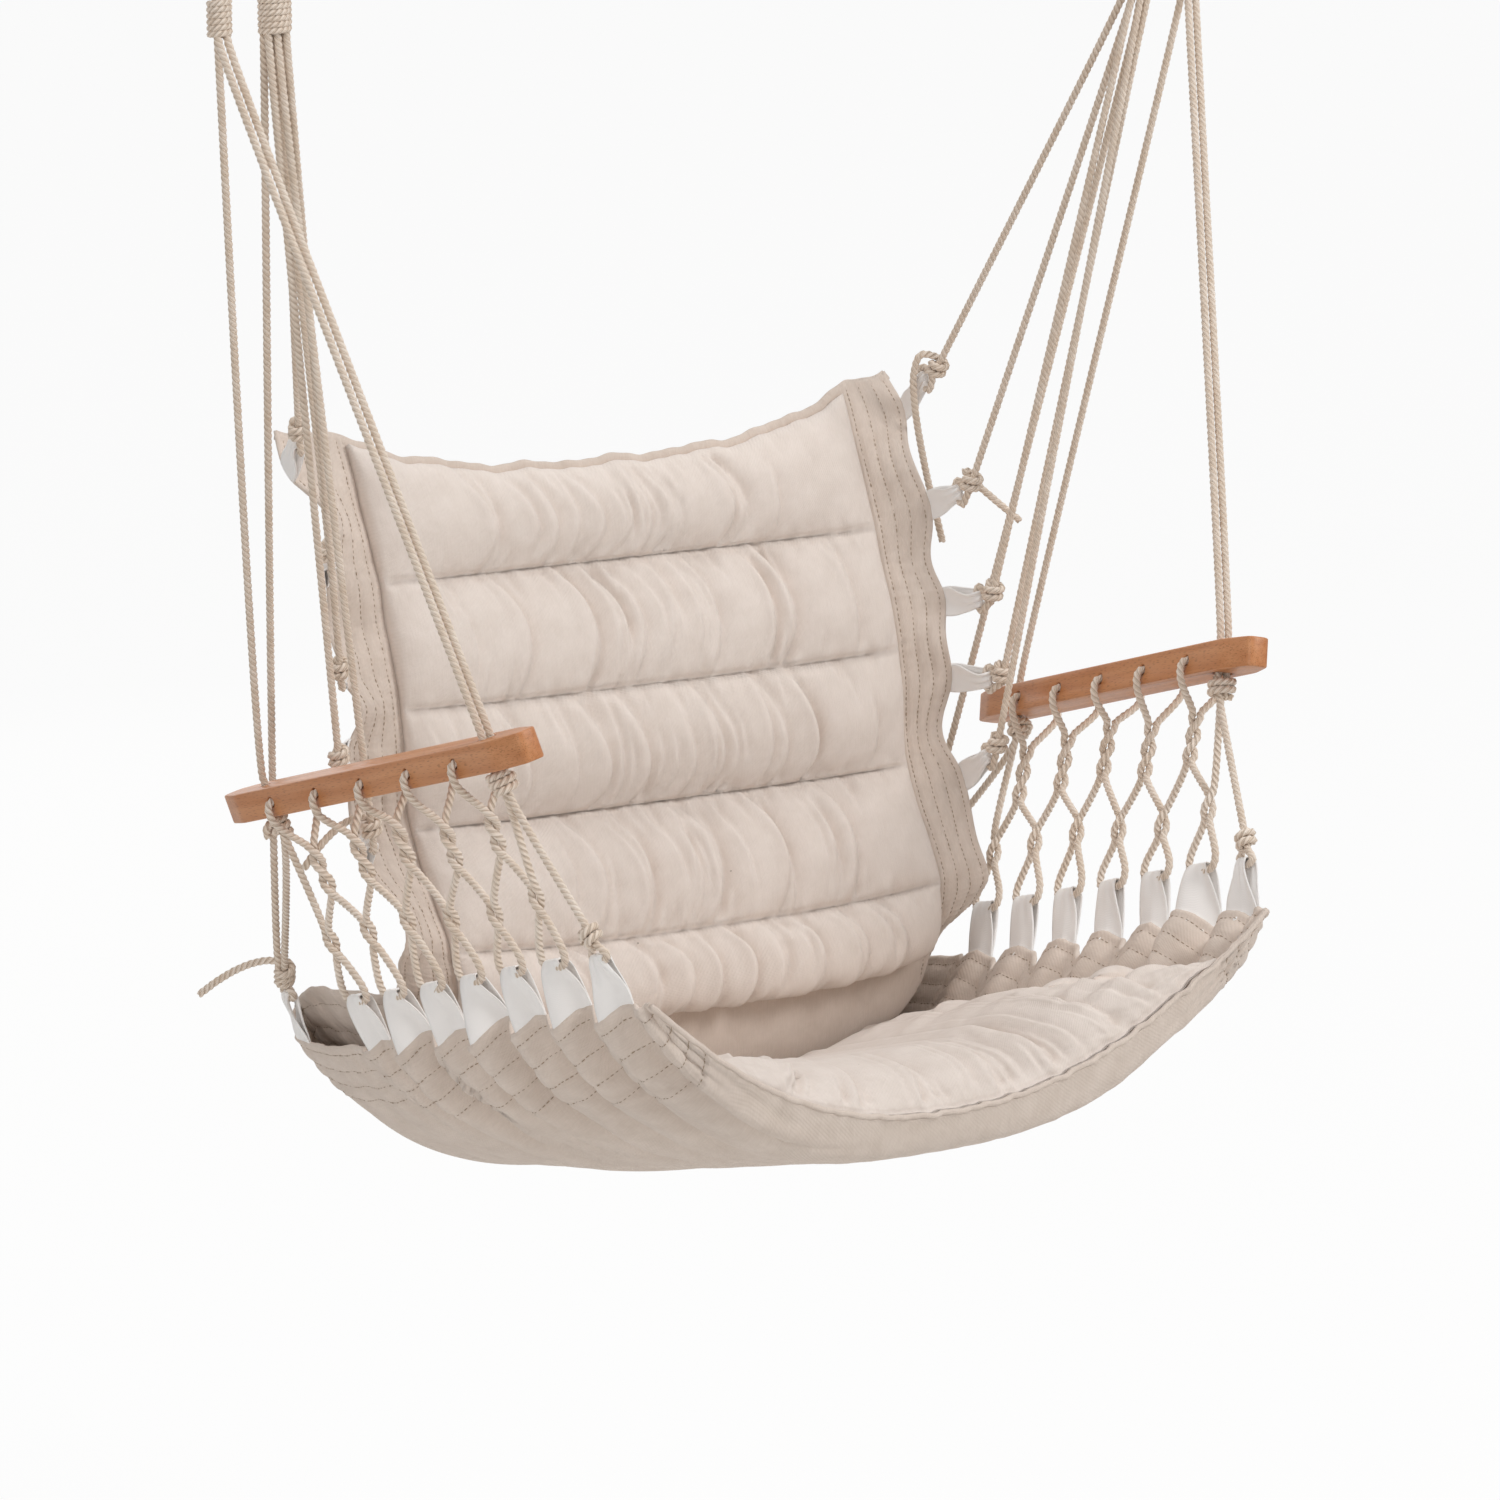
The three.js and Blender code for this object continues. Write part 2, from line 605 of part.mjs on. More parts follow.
// Where a loop stands on the sling's side edge: its base, the hem's direction and the loop's own direction
function loopPlace(side, row, towards) {
  const base = slingPoint(side, row);
  const along = slingPoint(side, row + loopHalfStep / 2).sub(slingPoint(side, row - loopHalfStep / 2)).normalize();
  const up = towards.clone().sub(base);
  up.addScaledVector(along, -up.dot(along)).normalize();
  const hemCorners = [-1, 0, 1].flatMap((end) => [-1, 1].map((face) => (
    slingPoint(side, row + end * loopHalfStep, (face * hemThickness) / 2))));
  const lift = Math.max(...hemCorners.map((corner) => corner.sub(base).dot(up)));
  return { base: base.addScaledVector(up, lift), along, up };
}

// A bight of rope through a loop's fold and up past both tape edges, and the knot that closes it
function knottedBight({ base, along, up }, height, ropeWay) {
  const inside = base.clone().addScaledVector(up, loopRopeRise + height - loopHeight);
  const reach = pinchedWidth / 2 + ropeRadius + loopClearance;
  const outside = base.clone().addScaledVector(up, loopSeat + height + loopTape / 2 + ropeRadius / 2);
  const knot = outside.clone().addScaledVector(up, knotRadius - ropeRadius / 2 + seatGap);
  const route = [knot, outside.clone().addScaledVector(along, reach), inside.clone().addScaledVector(along, reach),
    inside.clone().addScaledVector(along, -reach), outside.clone().addScaledVector(along, -reach), knot];
  return {
    knot,
    solids: [
      tube(route, ropeRadius, laceFacets),
      standing(knotBody(knotRadius, knotHeight), ropeWay(knot), knot),
    ],
  };
}

// Armrests

function armrestFrame(side) {
  const front = vec(-side * Math.sin(armrestToe) * Math.cos(armrestPitch),
    -Math.cos(armrestToe) * Math.cos(armrestPitch), Math.sin(armrestPitch));
  const flatOut = vec(side * Math.cos(armrestToe), -Math.sin(armrestToe), 0);
  const flatUp = vec(0, 0, 1).addScaledVector(front, -front.z).normalize();
  const up = flatUp.clone().multiplyScalar(Math.cos(armrestRoll)).addScaledVector(flatOut, Math.sin(armrestRoll));
  const out = flatOut.clone().multiplyScalar(Math.cos(armrestRoll)).addScaledVector(flatUp, -Math.sin(armrestRoll));
  return { origin: vec(side * armrestSpacing / 2, -armrestForward, armrestLift), front, out, up };
}

const armrestPoint = (frame, along, out, up) => frame.origin.clone()
  .addScaledVector(frame.front, along).addScaledVector(frame.out, out).addScaledVector(frame.up, up);

const sideHoleRadius = ropeRadius + boreClearance;
const pairHoleRadius = ropeDiameter + boreClearance;
const holeAt = (index) => (index - (holeCount + 1) / 2) * holePitch;
const holeNumbers = evenly(1, holeCount, holeCount - 1);

function armrestBody() {
  const tip = armrestLength / 2 - armrestEdge;
  const edge = armrestWidth / 2 - armrestEdge;
  const shoulder = tip - armrestTaperLength;
  const nose = edge - armrestTaperDepth;
  const outline = new THREE.Shape([
    [-tip, -nose], [-shoulder, -edge], [shoulder, -edge], [tip, -nose],
    [tip, nose], [shoulder, edge], [-shoulder, edge], [-tip, nose],
  ].map(([along, out]) => new THREE.Vector2(along, out)));
  const body = new THREE.ExtrudeGeometry(outline, {
    depth: armrestThickness - 2 * armrestEdge,
    bevelEnabled: true,
    bevelThickness: armrestEdge,
    bevelSize: armrestEdge,
    bevelSegments: 1,
  }).translate(0, 0, armrestEdge - armrestThickness / 2);
  const sideBores = holeNumbers.map((hole) => (
    boreThrough(sideHoleRadius, armrestWidth).translate(holeAt(hole), 0, 0)));
  const endBore = (radius, along) => (
    boreThrough(radius, armrestThickness).rotateX(Math.PI / 2).translate(along, 0, 0));
  return drilled(body, ...sideBores, endBore(pairHoleRadius, endHoleReach), endBore(sideHoleRadius, -endHoleReach));
}

// Where each rope leaves its bundle's underside, in rope pitches outward and forward from the bundle's middle
const gatherPlaces = {
  back: [[-1, -0.5], [0, -0.5], [-1, 0.5], [1, 0.5], [0, 0.5]],
  rearEnd: [1, -0.5],
  armrestRear: [0, -0.5],
  armrestFront: [[-0.5, 0.5], [0.5, 0.5]],
};

const gatherMiddle = (side, bundle) => vec(side * bundle.reach, hangSetback, gatherRise);

function gatherEnd(side, bundle, [outPitches, frontPitches], target) {
  const place = gatherMiddle(side, bundle).add(vec(side * outPitches * ropePitch, -frontPitches * ropePitch, 0));
  const way = target.clone().sub(place).normalize();
  const tilt = Math.hypot(way.x, way.y);
  return place.addScaledVector(way, (seatGap + ropeRadius * tilt) / -way.z);
}

// Side lacing

const laceStandoff = armrestWidth / 2 + ropeRadius + seatGap;
const twistRadius = (ropeRadius + laceGap) / Math.cos((twistTurns * Math.PI) / twistSteps);

// A side net's places: index counts holes from the rear, share runs from armrest to loop, and along and out are
// distances towards the front and away from the seat
function netPlace(side, frame, index, share, along = 0, out = 0) {
  const top = armrestPoint(frame, holeAt(index), 0, 0);
  const spot = loopPlace(side, firstSeatLoopRow + (index - 0.5) * seatLoopRowStep, top);
  const bottom = spot.base.addScaledVector(spot.up, loopRopeRise);
  const forward = between(frame.front, spot.along, share).normalize();
  return between(top, bottom, share).addScaledVector(forward, along).addScaledVector(frame.out, out);
}

// The lower end of a strand: half a turn round its neighbour, then into the loop from the far side
function laceCrossing(place, loop, way) {
  const route = evenly(0, 1, crossingSteps).map((turn) => {
    const share = crossingShare + crossingHalfShare * (2 * turn - 1);
    const angle = Math.PI * turn;
    return place(loop, share, -way * twistRadius * Math.cos(angle), way * twistRadius * Math.sin(angle));
  });
  const mouth = loopWidth / 2 + ropeRadius + loopClearance;
  route.push(place(loop, mouthShare, way * mouth, 0));
  route.push(place(loop, (mouthShare + 2) / 3, way * mouth, 0));
  route.push(place(loop, 1, way * (mouth - ropeRadius), 0));
  return route;
}

// One strand from an armrest hole down to a loop: face is the armrest's outer or inner side, way is to the front
// or the rear
function laceStrand(frame, place, hole, face, way) {
  const hang = (out, up) => armrestPoint(frame, holeAt(hole), face * out, up);
  const twist = evenly(0, 1, twistSteps).map((turn) => {
    const angle = (face > 0 ? 0 : Math.PI) + turn * twistTurns * 2 * Math.PI;
    const share = THREE.MathUtils.lerp(twistStartShare, twistEndShare, turn);
    return place(hole, share, twistRadius * Math.sin(angle), twistRadius * Math.cos(angle));
  });
  return [hang(laceStandoff - ropeRadius, 0), hang(laceStandoff, -ropeRadius),
    hang(laceStandoff, -armrestThickness / 2 - ropeRadius), ...twist, ...laceCrossing(place, hole + way / 2, way)];
}

function lacingRoute(frame, place, rearStart, frontStart) {
  const strands = holeNumbers.flatMap((hole) => [
    ...laceStrand(frame, place, hole, -1, -1).reverse(),
    ...laceStrand(frame, place, hole, 1, 1),
  ]);
  return [rearStart, ...laceCrossing(place, 0.5, 1), ...strands,
    ...laceCrossing(place, holeCount + 0.5, -1).reverse(), frontStart];
}

// The least gap between stretches of a rope that lie more than a few diameters apart along it
const sampleSpacing = ropeRadius / 2;
const nearAlongRope = 5 * ropeDiameter;

function leastSelfGap(route) {
  const samples = route.slice(1).flatMap((point, index) => {
    const count = Math.ceil(route[index].distanceTo(point) / sampleSpacing);
    return evenly(0, 1, count).slice(0, -1).map((share) => between(route[index], point, share));
  });
  const skip = Math.ceil(nearAlongRope / sampleSpacing);
  let least = Infinity;
  for (let i = 0; i < samples.length; i += 1) {
    for (let j = i + skip; j < samples.length; j += 1) {
      least = Math.min(least, samples[i].distanceToSquared(samples[j]));
    }
  }
  return Math.sqrt(least) - ropeDiameter;
}

for (const [name, side] of Object.entries(sides)) {
  const frame = armrestFrame(side);
  const place = (...where) => netPlace(side, frame, ...where);
  const gather = gatherMiddle(side, bundles.back);

  // The armrest is alike on both faces, so its width may run either way
  const across = frame.up.clone().cross(frame.front);
  const armrest = addPiece(chair, `armrest_${name}`, armrestBody(), woodColour);
  armrest.applyMatrix4(new THREE.Matrix4().makeBasis(frame.front, across, frame.up).setPosition(frame.origin));

  // Back loops, and the rope that is knotted into each and runs up to the gathering
  backLoopRows.forEach((row, index) => {
    const spot = loopPlace(side, row, gather);
    const number = index + 1;
    addPiece(chair, `back_loop_${name}_${number}`,
      tapeLoop(spot.base, spot.along, spot.up, backLoopHeight, pinchedWidth), tapeColour);
    const { knot, solids } = knottedBight(spot, backLoopHeight, (at) => gather.clone().sub(at));
    addPiece(chair, `back_rope_${name}_${number}`,
      fused(...solids, rod(gatherEnd(side, bundles.back, gatherPlaces.back[index], knot), knot, ropeRadius)),
      ropeColour);
  });

  // Seat loops that the lacing runs through
  seatLoopRows.slice(0, -1).forEach((row, index) => {
    const spot = loopPlace(side, row, place(index + 0.5, 0));
    addPiece(chair, `seat_loop_${name}_${index + 2}`,
      tapeLoop(spot.base, spot.along, spot.up, loopHeight, loopWidth), tapeColour);
  });

  // Ropes that come down through the armrest, are knotted under it and run on to the seat's end loops
  const knotLevel = -armrestThickness / 2 - seatGap - largeKnotHeight / 2;
  const throughArmrest = (along, out, gatherPlace) => {
    const at = (up) => armrestPoint(frame, along, out, up);
    const mouth = at(armrestThickness / 2 + ropeDiameter);
    const top = gatherEnd(side, bundles.armrest, gatherPlace, mouth);
    return tube([top, mouth, at(armrestThickness / 2), at(knotLevel)], ropeRadius, ropeFacets);
  };
  const endRope = (spot, armrestKnot) => {
    const { knot, solids } = knottedBight(spot, loopHeight, (at) => armrestKnot.clone().sub(at));
    const largeKnot = standing(knotBody(largeKnotRadius, largeKnotHeight), frame.up, armrestKnot);
    return { knot, solids: [...solids, largeKnot, rod(armrestKnot, knot, ropeRadius)] };
  };

  const rearKnot = armrestPoint(frame, -endHoleReach, 0, knotLevel);
  const rearSpot = loopPlace(side, foldLoopRow, rearKnot);
  addPiece(chair, `seat_loop_${name}_1`,
    tapeLoop(rearSpot.base, rearSpot.along, rearSpot.up, loopHeight, pinchedWidth), tapeColour);
  const rear = endRope(rearSpot, rearKnot);
  addPiece(chair, `rear_ropes_${name}`, fused(...rear.solids,
    throughArmrest(-endHoleReach, 0, gatherPlaces.armrestRear),
    rod(gatherEnd(side, bundles.back, gatherPlaces.rearEnd, rear.knot), rear.knot, ropeRadius)), ropeColour);

  const frontKnot = armrestPoint(frame, endHoleReach, 0, knotLevel);
  const frontSpot = loopPlace(side, lastSeatLoopRow, frontKnot);
  addPiece(chair, `seat_loop_${name}_${seatLoopCount + 1}`,
    tapeLoop(frontSpot.base, frontSpot.along, frontSpot.up, loopHeight, pinchedWidth), tapeColour);
  const front = endRope(frontSpot, frontKnot);
  const pairOffset = ropeRadius + seatGap;
  addPiece(chair, `front_ropes_${name}`, fused(...front.solids,
    throughArmrest(endHoleReach, -pairOffset, gatherPlaces.armrestFront[0]),
    throughArmrest(endHoleReach, pairOffset, gatherPlaces.armrestFront[1])), ropeColour);

  // Lacing rope, from the rear knot through every loop and hole to the front knot
  const laceStart = (knot, index) => {
    const way = place(index, crossingShare).sub(knot).normalize();
    return knot.clone().addScaledVector(way, largeKnotRadius + padGap);
  };
  const route = lacingRoute(frame, place, laceStart(rearKnot, 0.5), laceStart(frontKnot, holeCount + 0.5));
  addPiece(chair, `side_lacing_${name}`, tube(route, ropeRadius, laceFacets), ropeColour);
  console.log(`side_lacing_${name}: least gap to itself ${leastSelfGap(route).toFixed(2)} mm`);
}

export default hammockChair;
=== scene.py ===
# A hammock chair that hangs from one ring, dressed piece by piece in the order in which it is put together.
# Lengths are in metres unless a name says otherwise, and +Z is up. The chair faces -Y.
import math

import bmesh
import bpy
import numpy as np
from mathutils import Matrix, Vector


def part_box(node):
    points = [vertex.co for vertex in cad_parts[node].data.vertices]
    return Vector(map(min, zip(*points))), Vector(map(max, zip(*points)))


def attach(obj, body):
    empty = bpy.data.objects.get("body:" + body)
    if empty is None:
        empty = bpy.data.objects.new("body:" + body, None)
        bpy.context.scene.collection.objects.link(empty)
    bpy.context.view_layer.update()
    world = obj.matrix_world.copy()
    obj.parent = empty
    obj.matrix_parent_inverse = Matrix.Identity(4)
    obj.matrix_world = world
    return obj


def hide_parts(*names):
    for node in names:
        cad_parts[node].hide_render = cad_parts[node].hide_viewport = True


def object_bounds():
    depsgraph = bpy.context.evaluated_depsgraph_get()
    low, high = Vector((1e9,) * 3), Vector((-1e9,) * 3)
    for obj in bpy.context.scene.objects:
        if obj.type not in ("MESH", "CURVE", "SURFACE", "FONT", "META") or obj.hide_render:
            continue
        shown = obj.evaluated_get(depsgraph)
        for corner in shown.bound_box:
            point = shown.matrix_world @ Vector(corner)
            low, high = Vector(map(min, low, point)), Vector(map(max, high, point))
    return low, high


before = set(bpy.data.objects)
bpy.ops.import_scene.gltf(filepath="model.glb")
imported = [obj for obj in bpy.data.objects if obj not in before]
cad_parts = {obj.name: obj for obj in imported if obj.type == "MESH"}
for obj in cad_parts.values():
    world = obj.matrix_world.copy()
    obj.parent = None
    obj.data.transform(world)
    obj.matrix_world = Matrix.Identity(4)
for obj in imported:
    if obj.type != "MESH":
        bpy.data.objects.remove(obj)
cad_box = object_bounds()
scene = bpy.context.scene
collection = scene.collection
MM = 0.001

# The chair's datum is the middle between its armrests. It hangs under the two gathered bundles of rope.
HANG_SETBACK = 36 * MM
GATHER_RISE = 540 * MM
gather_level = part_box("back_rope_bundle_left")[0].z
datum = Vector((0.0, -HANG_SETBACK, gather_level - GATHER_RISE))


# The studio: a long lens from the chair's right front, and broad soft lamps over a pale floor. The floor and
# the space behind it look white to the camera, while the lamps stay at a level that shows colours as written.
CAMERA_TURN = math.radians(30)
CAMERA_RISE = math.radians(13.1)
CAMERA_DISTANCE = 4.6
CAMERA_SIGHT = 200
CAMERA_LENS_MM = 150.6
CAMERA_SENSOR_MM = 36
WORLD_LIGHT = 0.42
FLOOR_WHITENESS = 0.93
FLOOR_DROP = 450 * MM
FLOOR_SPAN = 60
WHITE = (1, 1, 1, 1)
# Each lamp's name, place from the datum, width in metres and power in watts
LAMPS = [
    ("key_lamp", (2.2, -3.0, 2.9), 1.5, 88),
    ("fill_lamp", (-3.2, -2.4, 1.8), 2.4, 30),
    ("top_lamp", (0.2, 0.4, 3.2), 2.0, 30),
    ("rear_lamp", (0.5, 3.4, 1.0), 3.0, 16),
]


def linear(colour):
    parts = [int(colour[start:start + 2], 16) / 255 for start in (1, 3, 5)]
    return [c / 12.92 if c <= 0.04045 else ((c + 0.055) / 1.055) ** 2.4 for c in parts] + [1.0]


def placed(name, data):
    obj = bpy.data.objects.new(name, data)
    collection.objects.link(obj)
    return obj


def add(tree, kind, settings=(), inputs=()):
    """Adds one node, with its settings, and with each input as a value or as the output that feeds it."""
    node = tree.nodes.new(kind)
    for name, value in dict(settings).items():
        setattr(node, name, value)
    for socket, value in dict(inputs).items():
        if isinstance(value, bpy.types.NodeSocket):
            tree.links.new(value, node.inputs[socket])
        else:
            node.inputs[socket].default_value = value
    return node.outputs


def number(tree, operation, first, second=0.0):
    return add(tree, "ShaderNodeMath", {"operation": operation}, {0: first, 1: second})[0]


def mixed(tree, share, first, second):
    return add(tree, "ShaderNodeMix", {"data_type": "FLOAT"}, {0: share, 2: first, 3: second})[0]


def mixed_colour(tree, share, first, second):
    return add(tree, "ShaderNodeMix", {"data_type": "RGBA"}, {0: share, 6: first, 7: second})[2]


def noise(tree, vector, scale, detail, **others):
    inputs = {"Vector": vector, "Scale": scale, "Detail": detail, **others}
    return add(tree, "ShaderNodeTexNoise", (), inputs)["Fac"]


def stretched(tree, vector, scale):
    return add(tree, "ShaderNodeMapping", (), {"Vector": vector, "Scale": scale})[0]


def ranged(tree, value, low, high, to_low=0.0, to_high=1.0):
    inputs = {"Value": value, "From Min": low, "From Max": high, "To Min": to_low, "To Max": to_high}
    return add(tree, "ShaderNodeMapRange", (), inputs)["Result"]


def relief(tree, height, strength, distance, **others):
    inputs = {"Height": height, "Strength": strength, "Distance": distance, **others}
    return add(tree, "ShaderNodeBump", (), inputs)[0]


def shaded_by(tree, **inputs):
    """Ends a material's tree with its shader. Spaces in an input's name are written as underscores."""
    inputs = {name.replace("_", " "): value for name, value in inputs.items()}
    shader = add(tree, "ShaderNodeBsdfPrincipled", (), inputs)[0]
    add(tree, "ShaderNodeOutputMaterial", (), {"Surface": shader})


def blank_material(name):
    material = bpy.data.materials.new(name)
    material.use_nodes = True
    material.node_tree.nodes.clear()
    return material, material.node_tree


level = math.cos(CAMERA_RISE)
look = Vector((math.sin(CAMERA_TURN) * level, math.cos(CAMERA_TURN) * level, -math.sin(CAMERA_RISE)))
camera_data = bpy.data.cameras.new("camera")
camera_data.lens = CAMERA_LENS_MM
camera_data.sensor_width = CAMERA_SENSOR_MM
camera_data.clip_end = CAMERA_SIGHT
camera = placed("camera", camera_data)
camera.location = datum - look * CAMERA_DISTANCE
camera.rotation_euler = look.to_track_quat("-Z", "Y").to_euler()
scene.camera = camera
scene.view_settings.view_transform = "Standard"

for lamp_name, place, size, watts in LAMPS:
    lamp_data = bpy.data.lights.new(lamp_name, "AREA")
    lamp_data.size = size
    lamp_data.energy = watts
    lamp = placed(lamp_name, lamp_data)
    lamp.location = datum + Vector(place)
    lamp.rotation_euler = (-Vector(place)).to_track_quat("-Z", "Y").to_euler()

world = bpy.data.worlds.new("studio")
scene.world = world
world.use_nodes = True
tree = world.node_tree
tree.nodes.clear()
rays = add(tree, "ShaderNodeLightPath")
seen = number(tree, "MAXIMUM", rays["Is Camera Ray"], rays["Is Glossy Ray"])
seen = number(tree, "MAXIMUM", seen, rays["Is Transmission Ray"])
strength = ranged(tree, seen, 0.0, 1.0, WORLD_LIGHT)
background = add(tree, "ShaderNodeBackground", (), {"Color": WHITE, "Strength": strength})
add(tree, "ShaderNodeOutputWorld", (), {"Surface": background[0]})

half = FLOOR_SPAN / 2
floor_level = cad_box[0].z - FLOOR_DROP
floor_corners = [(x, y, floor_level) for x, y in ((-half, -half), (half, -half), (half, half), (-half, half))]
floor_mesh = bpy.data.meshes.new("floor")
floor_mesh.from_pydata(floor_corners, [], [(0, 1, 2, 3)])
floor = placed("floor", floor_mesh)
# Matt white paint for the lamps' light, and nearly plain white to the camera itself
floor_paint, tree = blank_material("matt white studio floor")
rays = add(tree, "ShaderNodeLightPath")
matt = add(tree, "ShaderNodeBsdfDiffuse", (), {"Color": linear("#F2F1EF")})
glow = add(tree, "ShaderNodeEmission", (), {"Color": WHITE, "Strength": 1.0})
share = number(tree, "MULTIPLY", rays["Is Camera Ray"], FLOOR_WHITENESS)
mixed_floor = add(tree, "ShaderNodeMixShader", (), {0: share, 1: matt[0], 2: glow[0]})
add(tree, "ShaderNodeOutputMaterial", (), {"Surface": mixed_floor[0]})
floor_mesh.materials.append(floor_paint)


# The canvas sling: one length of unbleached cotton canvas that hangs as back, fold and seat. Both its sides
# are folded over into wide hems with four rows of stitching, and the seat's hems sag between their loops.
SEAT_DEPTH = 550 * MM
FRONT_REACH = 305 * MM
BACK_HEIGHT = 455 * MM
FOLD_DROP = 225 * MM
SLING_HALF_WIDTH = 260 * MM
HEM_WIDTH = 44 * MM
CANVAS_THICKNESS = 2.4 * MM
HEM_THICKNESS = 4.6 * MM
# Each row: the side edge and then the middle, as shares of the seat's depth and of the back's height
PATH_SHARES = [
    [0.996, 1.000, 0.958, 0.872], [0.855, 0.727, 0.915, 0.708], [0.813, 0.534, 0.831, 0.516],
    [0.787, 0.336, 0.805, 0.323], [0.685, 0.198, 0.709, 0.149], [0.729, 0.116, 0.675, 0.044],
    [0.878, 0.073, 0.809, -0.090], [0.991, 0.046, 0.969, -0.220], [1.020, 0.009, 1.024, -0.266],
    [0.991, -0.029, 0.991, -0.310], [0.864, -0.011, 0.864, -0.279], [0.727, 0.033, 0.727, -0.240],
    [0.582, 0.086, 0.573, -0.196], [0.436, 0.143, 0.418, -0.140], [0.291, 0.200, 0.273, -0.088],
    [0.145, 0.255, 0.118, -0.032], [0.018, 0.300, -0.018, 0.020], [0.006, 0.307, -0.038, 0.076],
]
WIDTH_SHARES = [1, 1, 1, 1, 0.985, 0.946, 0.94, 0.945, 0.96, 0.985, 1, 1, 1, 1, 1, 1, 0.98, 0.975]
LAST_ROW = len(PATH_SHARES) - 1
TURN_UP_ROW = LAST_ROW - 1
BACK_END_ROW = 8
SLING_BOWL = 2.9
TURN_UP_BOWL = 2.2
BACK_LIFT = 10 * MM
BACK_LIFT_ROWS = (2.9, 4.2)
LOW_LINE_SHARE = -0.11
LOW_LINE_ROWS = (11, 15.5)
BACK_LOOP_ROWS = [0.27, 0.89, 1.66, 2.31, 3.17]
FOLD_LOOP_ROW = 9.25
FIRST_LOOP_ROW = 11
LOOP_ROW_STEP = 0.75
LOOP_COUNT = 7
LAST_LOOP_ROW = FIRST_LOOP_ROW + (LOOP_COUNT - 1) * LOOP_ROW_STEP
LOOP_BASE_SHARE = 0.24
SCALLOP_DIP = 10 * MM
FOLD_DEPTH = 7 * MM
SCALLOP_START = 0.55
PROBE = 0.004
SIDES = {"left": -1, "right": 1}


def spline(points, places):
    """Points at the given places, from 0 to 1, of a centripetal Catmull-Rom curve."""
    points = np.asarray(points, float)
    places = np.asarray(places, float)
    flat = places.ravel() * (len(points) - 1)
    index = np.minimum(flat.astype(int), len(points) - 2)
    w = (flat - index)[:, None]
    ends = np.vstack([2 * points[0] - points[1], points, 2 * points[-1] - points[-2]])
    p0, p1, p2, p3 = ends[index], ends[index + 1], ends[index + 2], ends[index + 3]
    d0, d1, d2 = (np.maximum(np.linalg.norm(b - a, axis=1), 1e-9)[:, None] ** 0.5
                  for a, b in ((p0, p1), (p1, p2), (p2, p3)))
    t1 = ((p1 - p0) / d0 - (p2 - p0) / (d0 + d1) + (p2 - p1) / d1) * d1
    t2 = ((p2 - p1) / d1 - (p3 - p1) / (d1 + d2) + (p3 - p2) / d2) * d1
    result = p1 + t1 * w + (3 * (p2 - p1) - 2 * t1 - t2) * w ** 2 + (2 * (p1 - p2) + t1 + t2) * w ** 3
    return result.reshape(places.shape + (3,))


def unit(vectors):
    return vectors / np.linalg.norm(vectors, axis=-1, keepdims=True)


def path_points(first):
    return [(0.0, -FRONT_REACH + row[first] * SEAT_DEPTH, -FOLD_DROP + row[first + 1] * BACK_HEIGHT)
            for row in PATH_SHARES]


EDGE_PATH = path_points(0)
MIDDLE_PATH = path_points(2)


def smoothstep(x, low, high):
    t = np.clip((x - low) / (high - low), 0, 1)
    return t * t * (3 - 2 * t)


def scallop(row):
    """How far a seat hem has sagged between two loops, with a level stretch under each loop."""
    phase = np.mod((row - FIRST_LOOP_ROW) / LOOP_ROW_STEP, 1)
    sag = np.sin(np.pi * np.clip((phase - LOOP_BASE_SHARE) / (1 - 2 * LOOP_BASE_SHARE), 0, 1)) ** 2
    return np.where((row <= FIRST_LOOP_ROW) | (row >= LAST_LOOP_ROW), 0, sag)


def sling_surface(across, row):
    across, row = np.broadcast_arrays(np.asarray(across, float), np.asarray(row, float))
    bowl = SLING_BOWL + (TURN_UP_BOWL - SLING_BOWL) * np.clip(row - TURN_UP_ROW, 0, 1)
    share = np.abs(across)
    # The seat hangs a little lower on its left, so its lowest line lies left of the middle
    moved = LOW_LINE_SHARE * (1 - across ** 2) * smoothstep(row, *LOW_LINE_ROWS)
    middle = spline(MIDDLE_PATH, row / LAST_ROW)
    edge = spline(EDGE_PATH, row / LAST_ROW)
    point = middle + (edge - middle) * (np.abs(across - moved) ** bowl)[..., None]
    width = SLING_HALF_WIDTH * np.interp(row, np.arange(LAST_ROW + 1), WIDTH_SHARES)
    sag = scallop(row) * smoothstep(share, SCALLOP_START, 1)
    point[..., 0] = across * width - np.sign(across) * FOLD_DEPTH * sag
    # Above its third seam the back hangs a little higher than its plain curve
    point[..., 2] += BACK_LIFT * (1 - smoothstep(row, *BACK_LIFT_ROWS)) - SCALLOP_DIP * sag
    return point


def sling_normal(surface, across, row):
    """The direction from the sling towards the sitter."""
    low, high = np.maximum(row - PROBE, 0), np.minimum(row + PROBE, LAST_ROW)
    along = surface(across, high) - surface(across, low)
    sideways = surface(across + PROBE, row) - surface(across - PROBE, row)
    return unit(np.cross(along, sideways))


def point_on(surface, across, row, offset):
    across, row = np.asarray(across, float), np.asarray(row, float)
    return surface(across, row) + sling_normal(surface, across, row) * np.asarray(offset)[..., None]


def sling_point(across, row, offset=0.0):
    return point_on(sling_surface, across, row, offset)


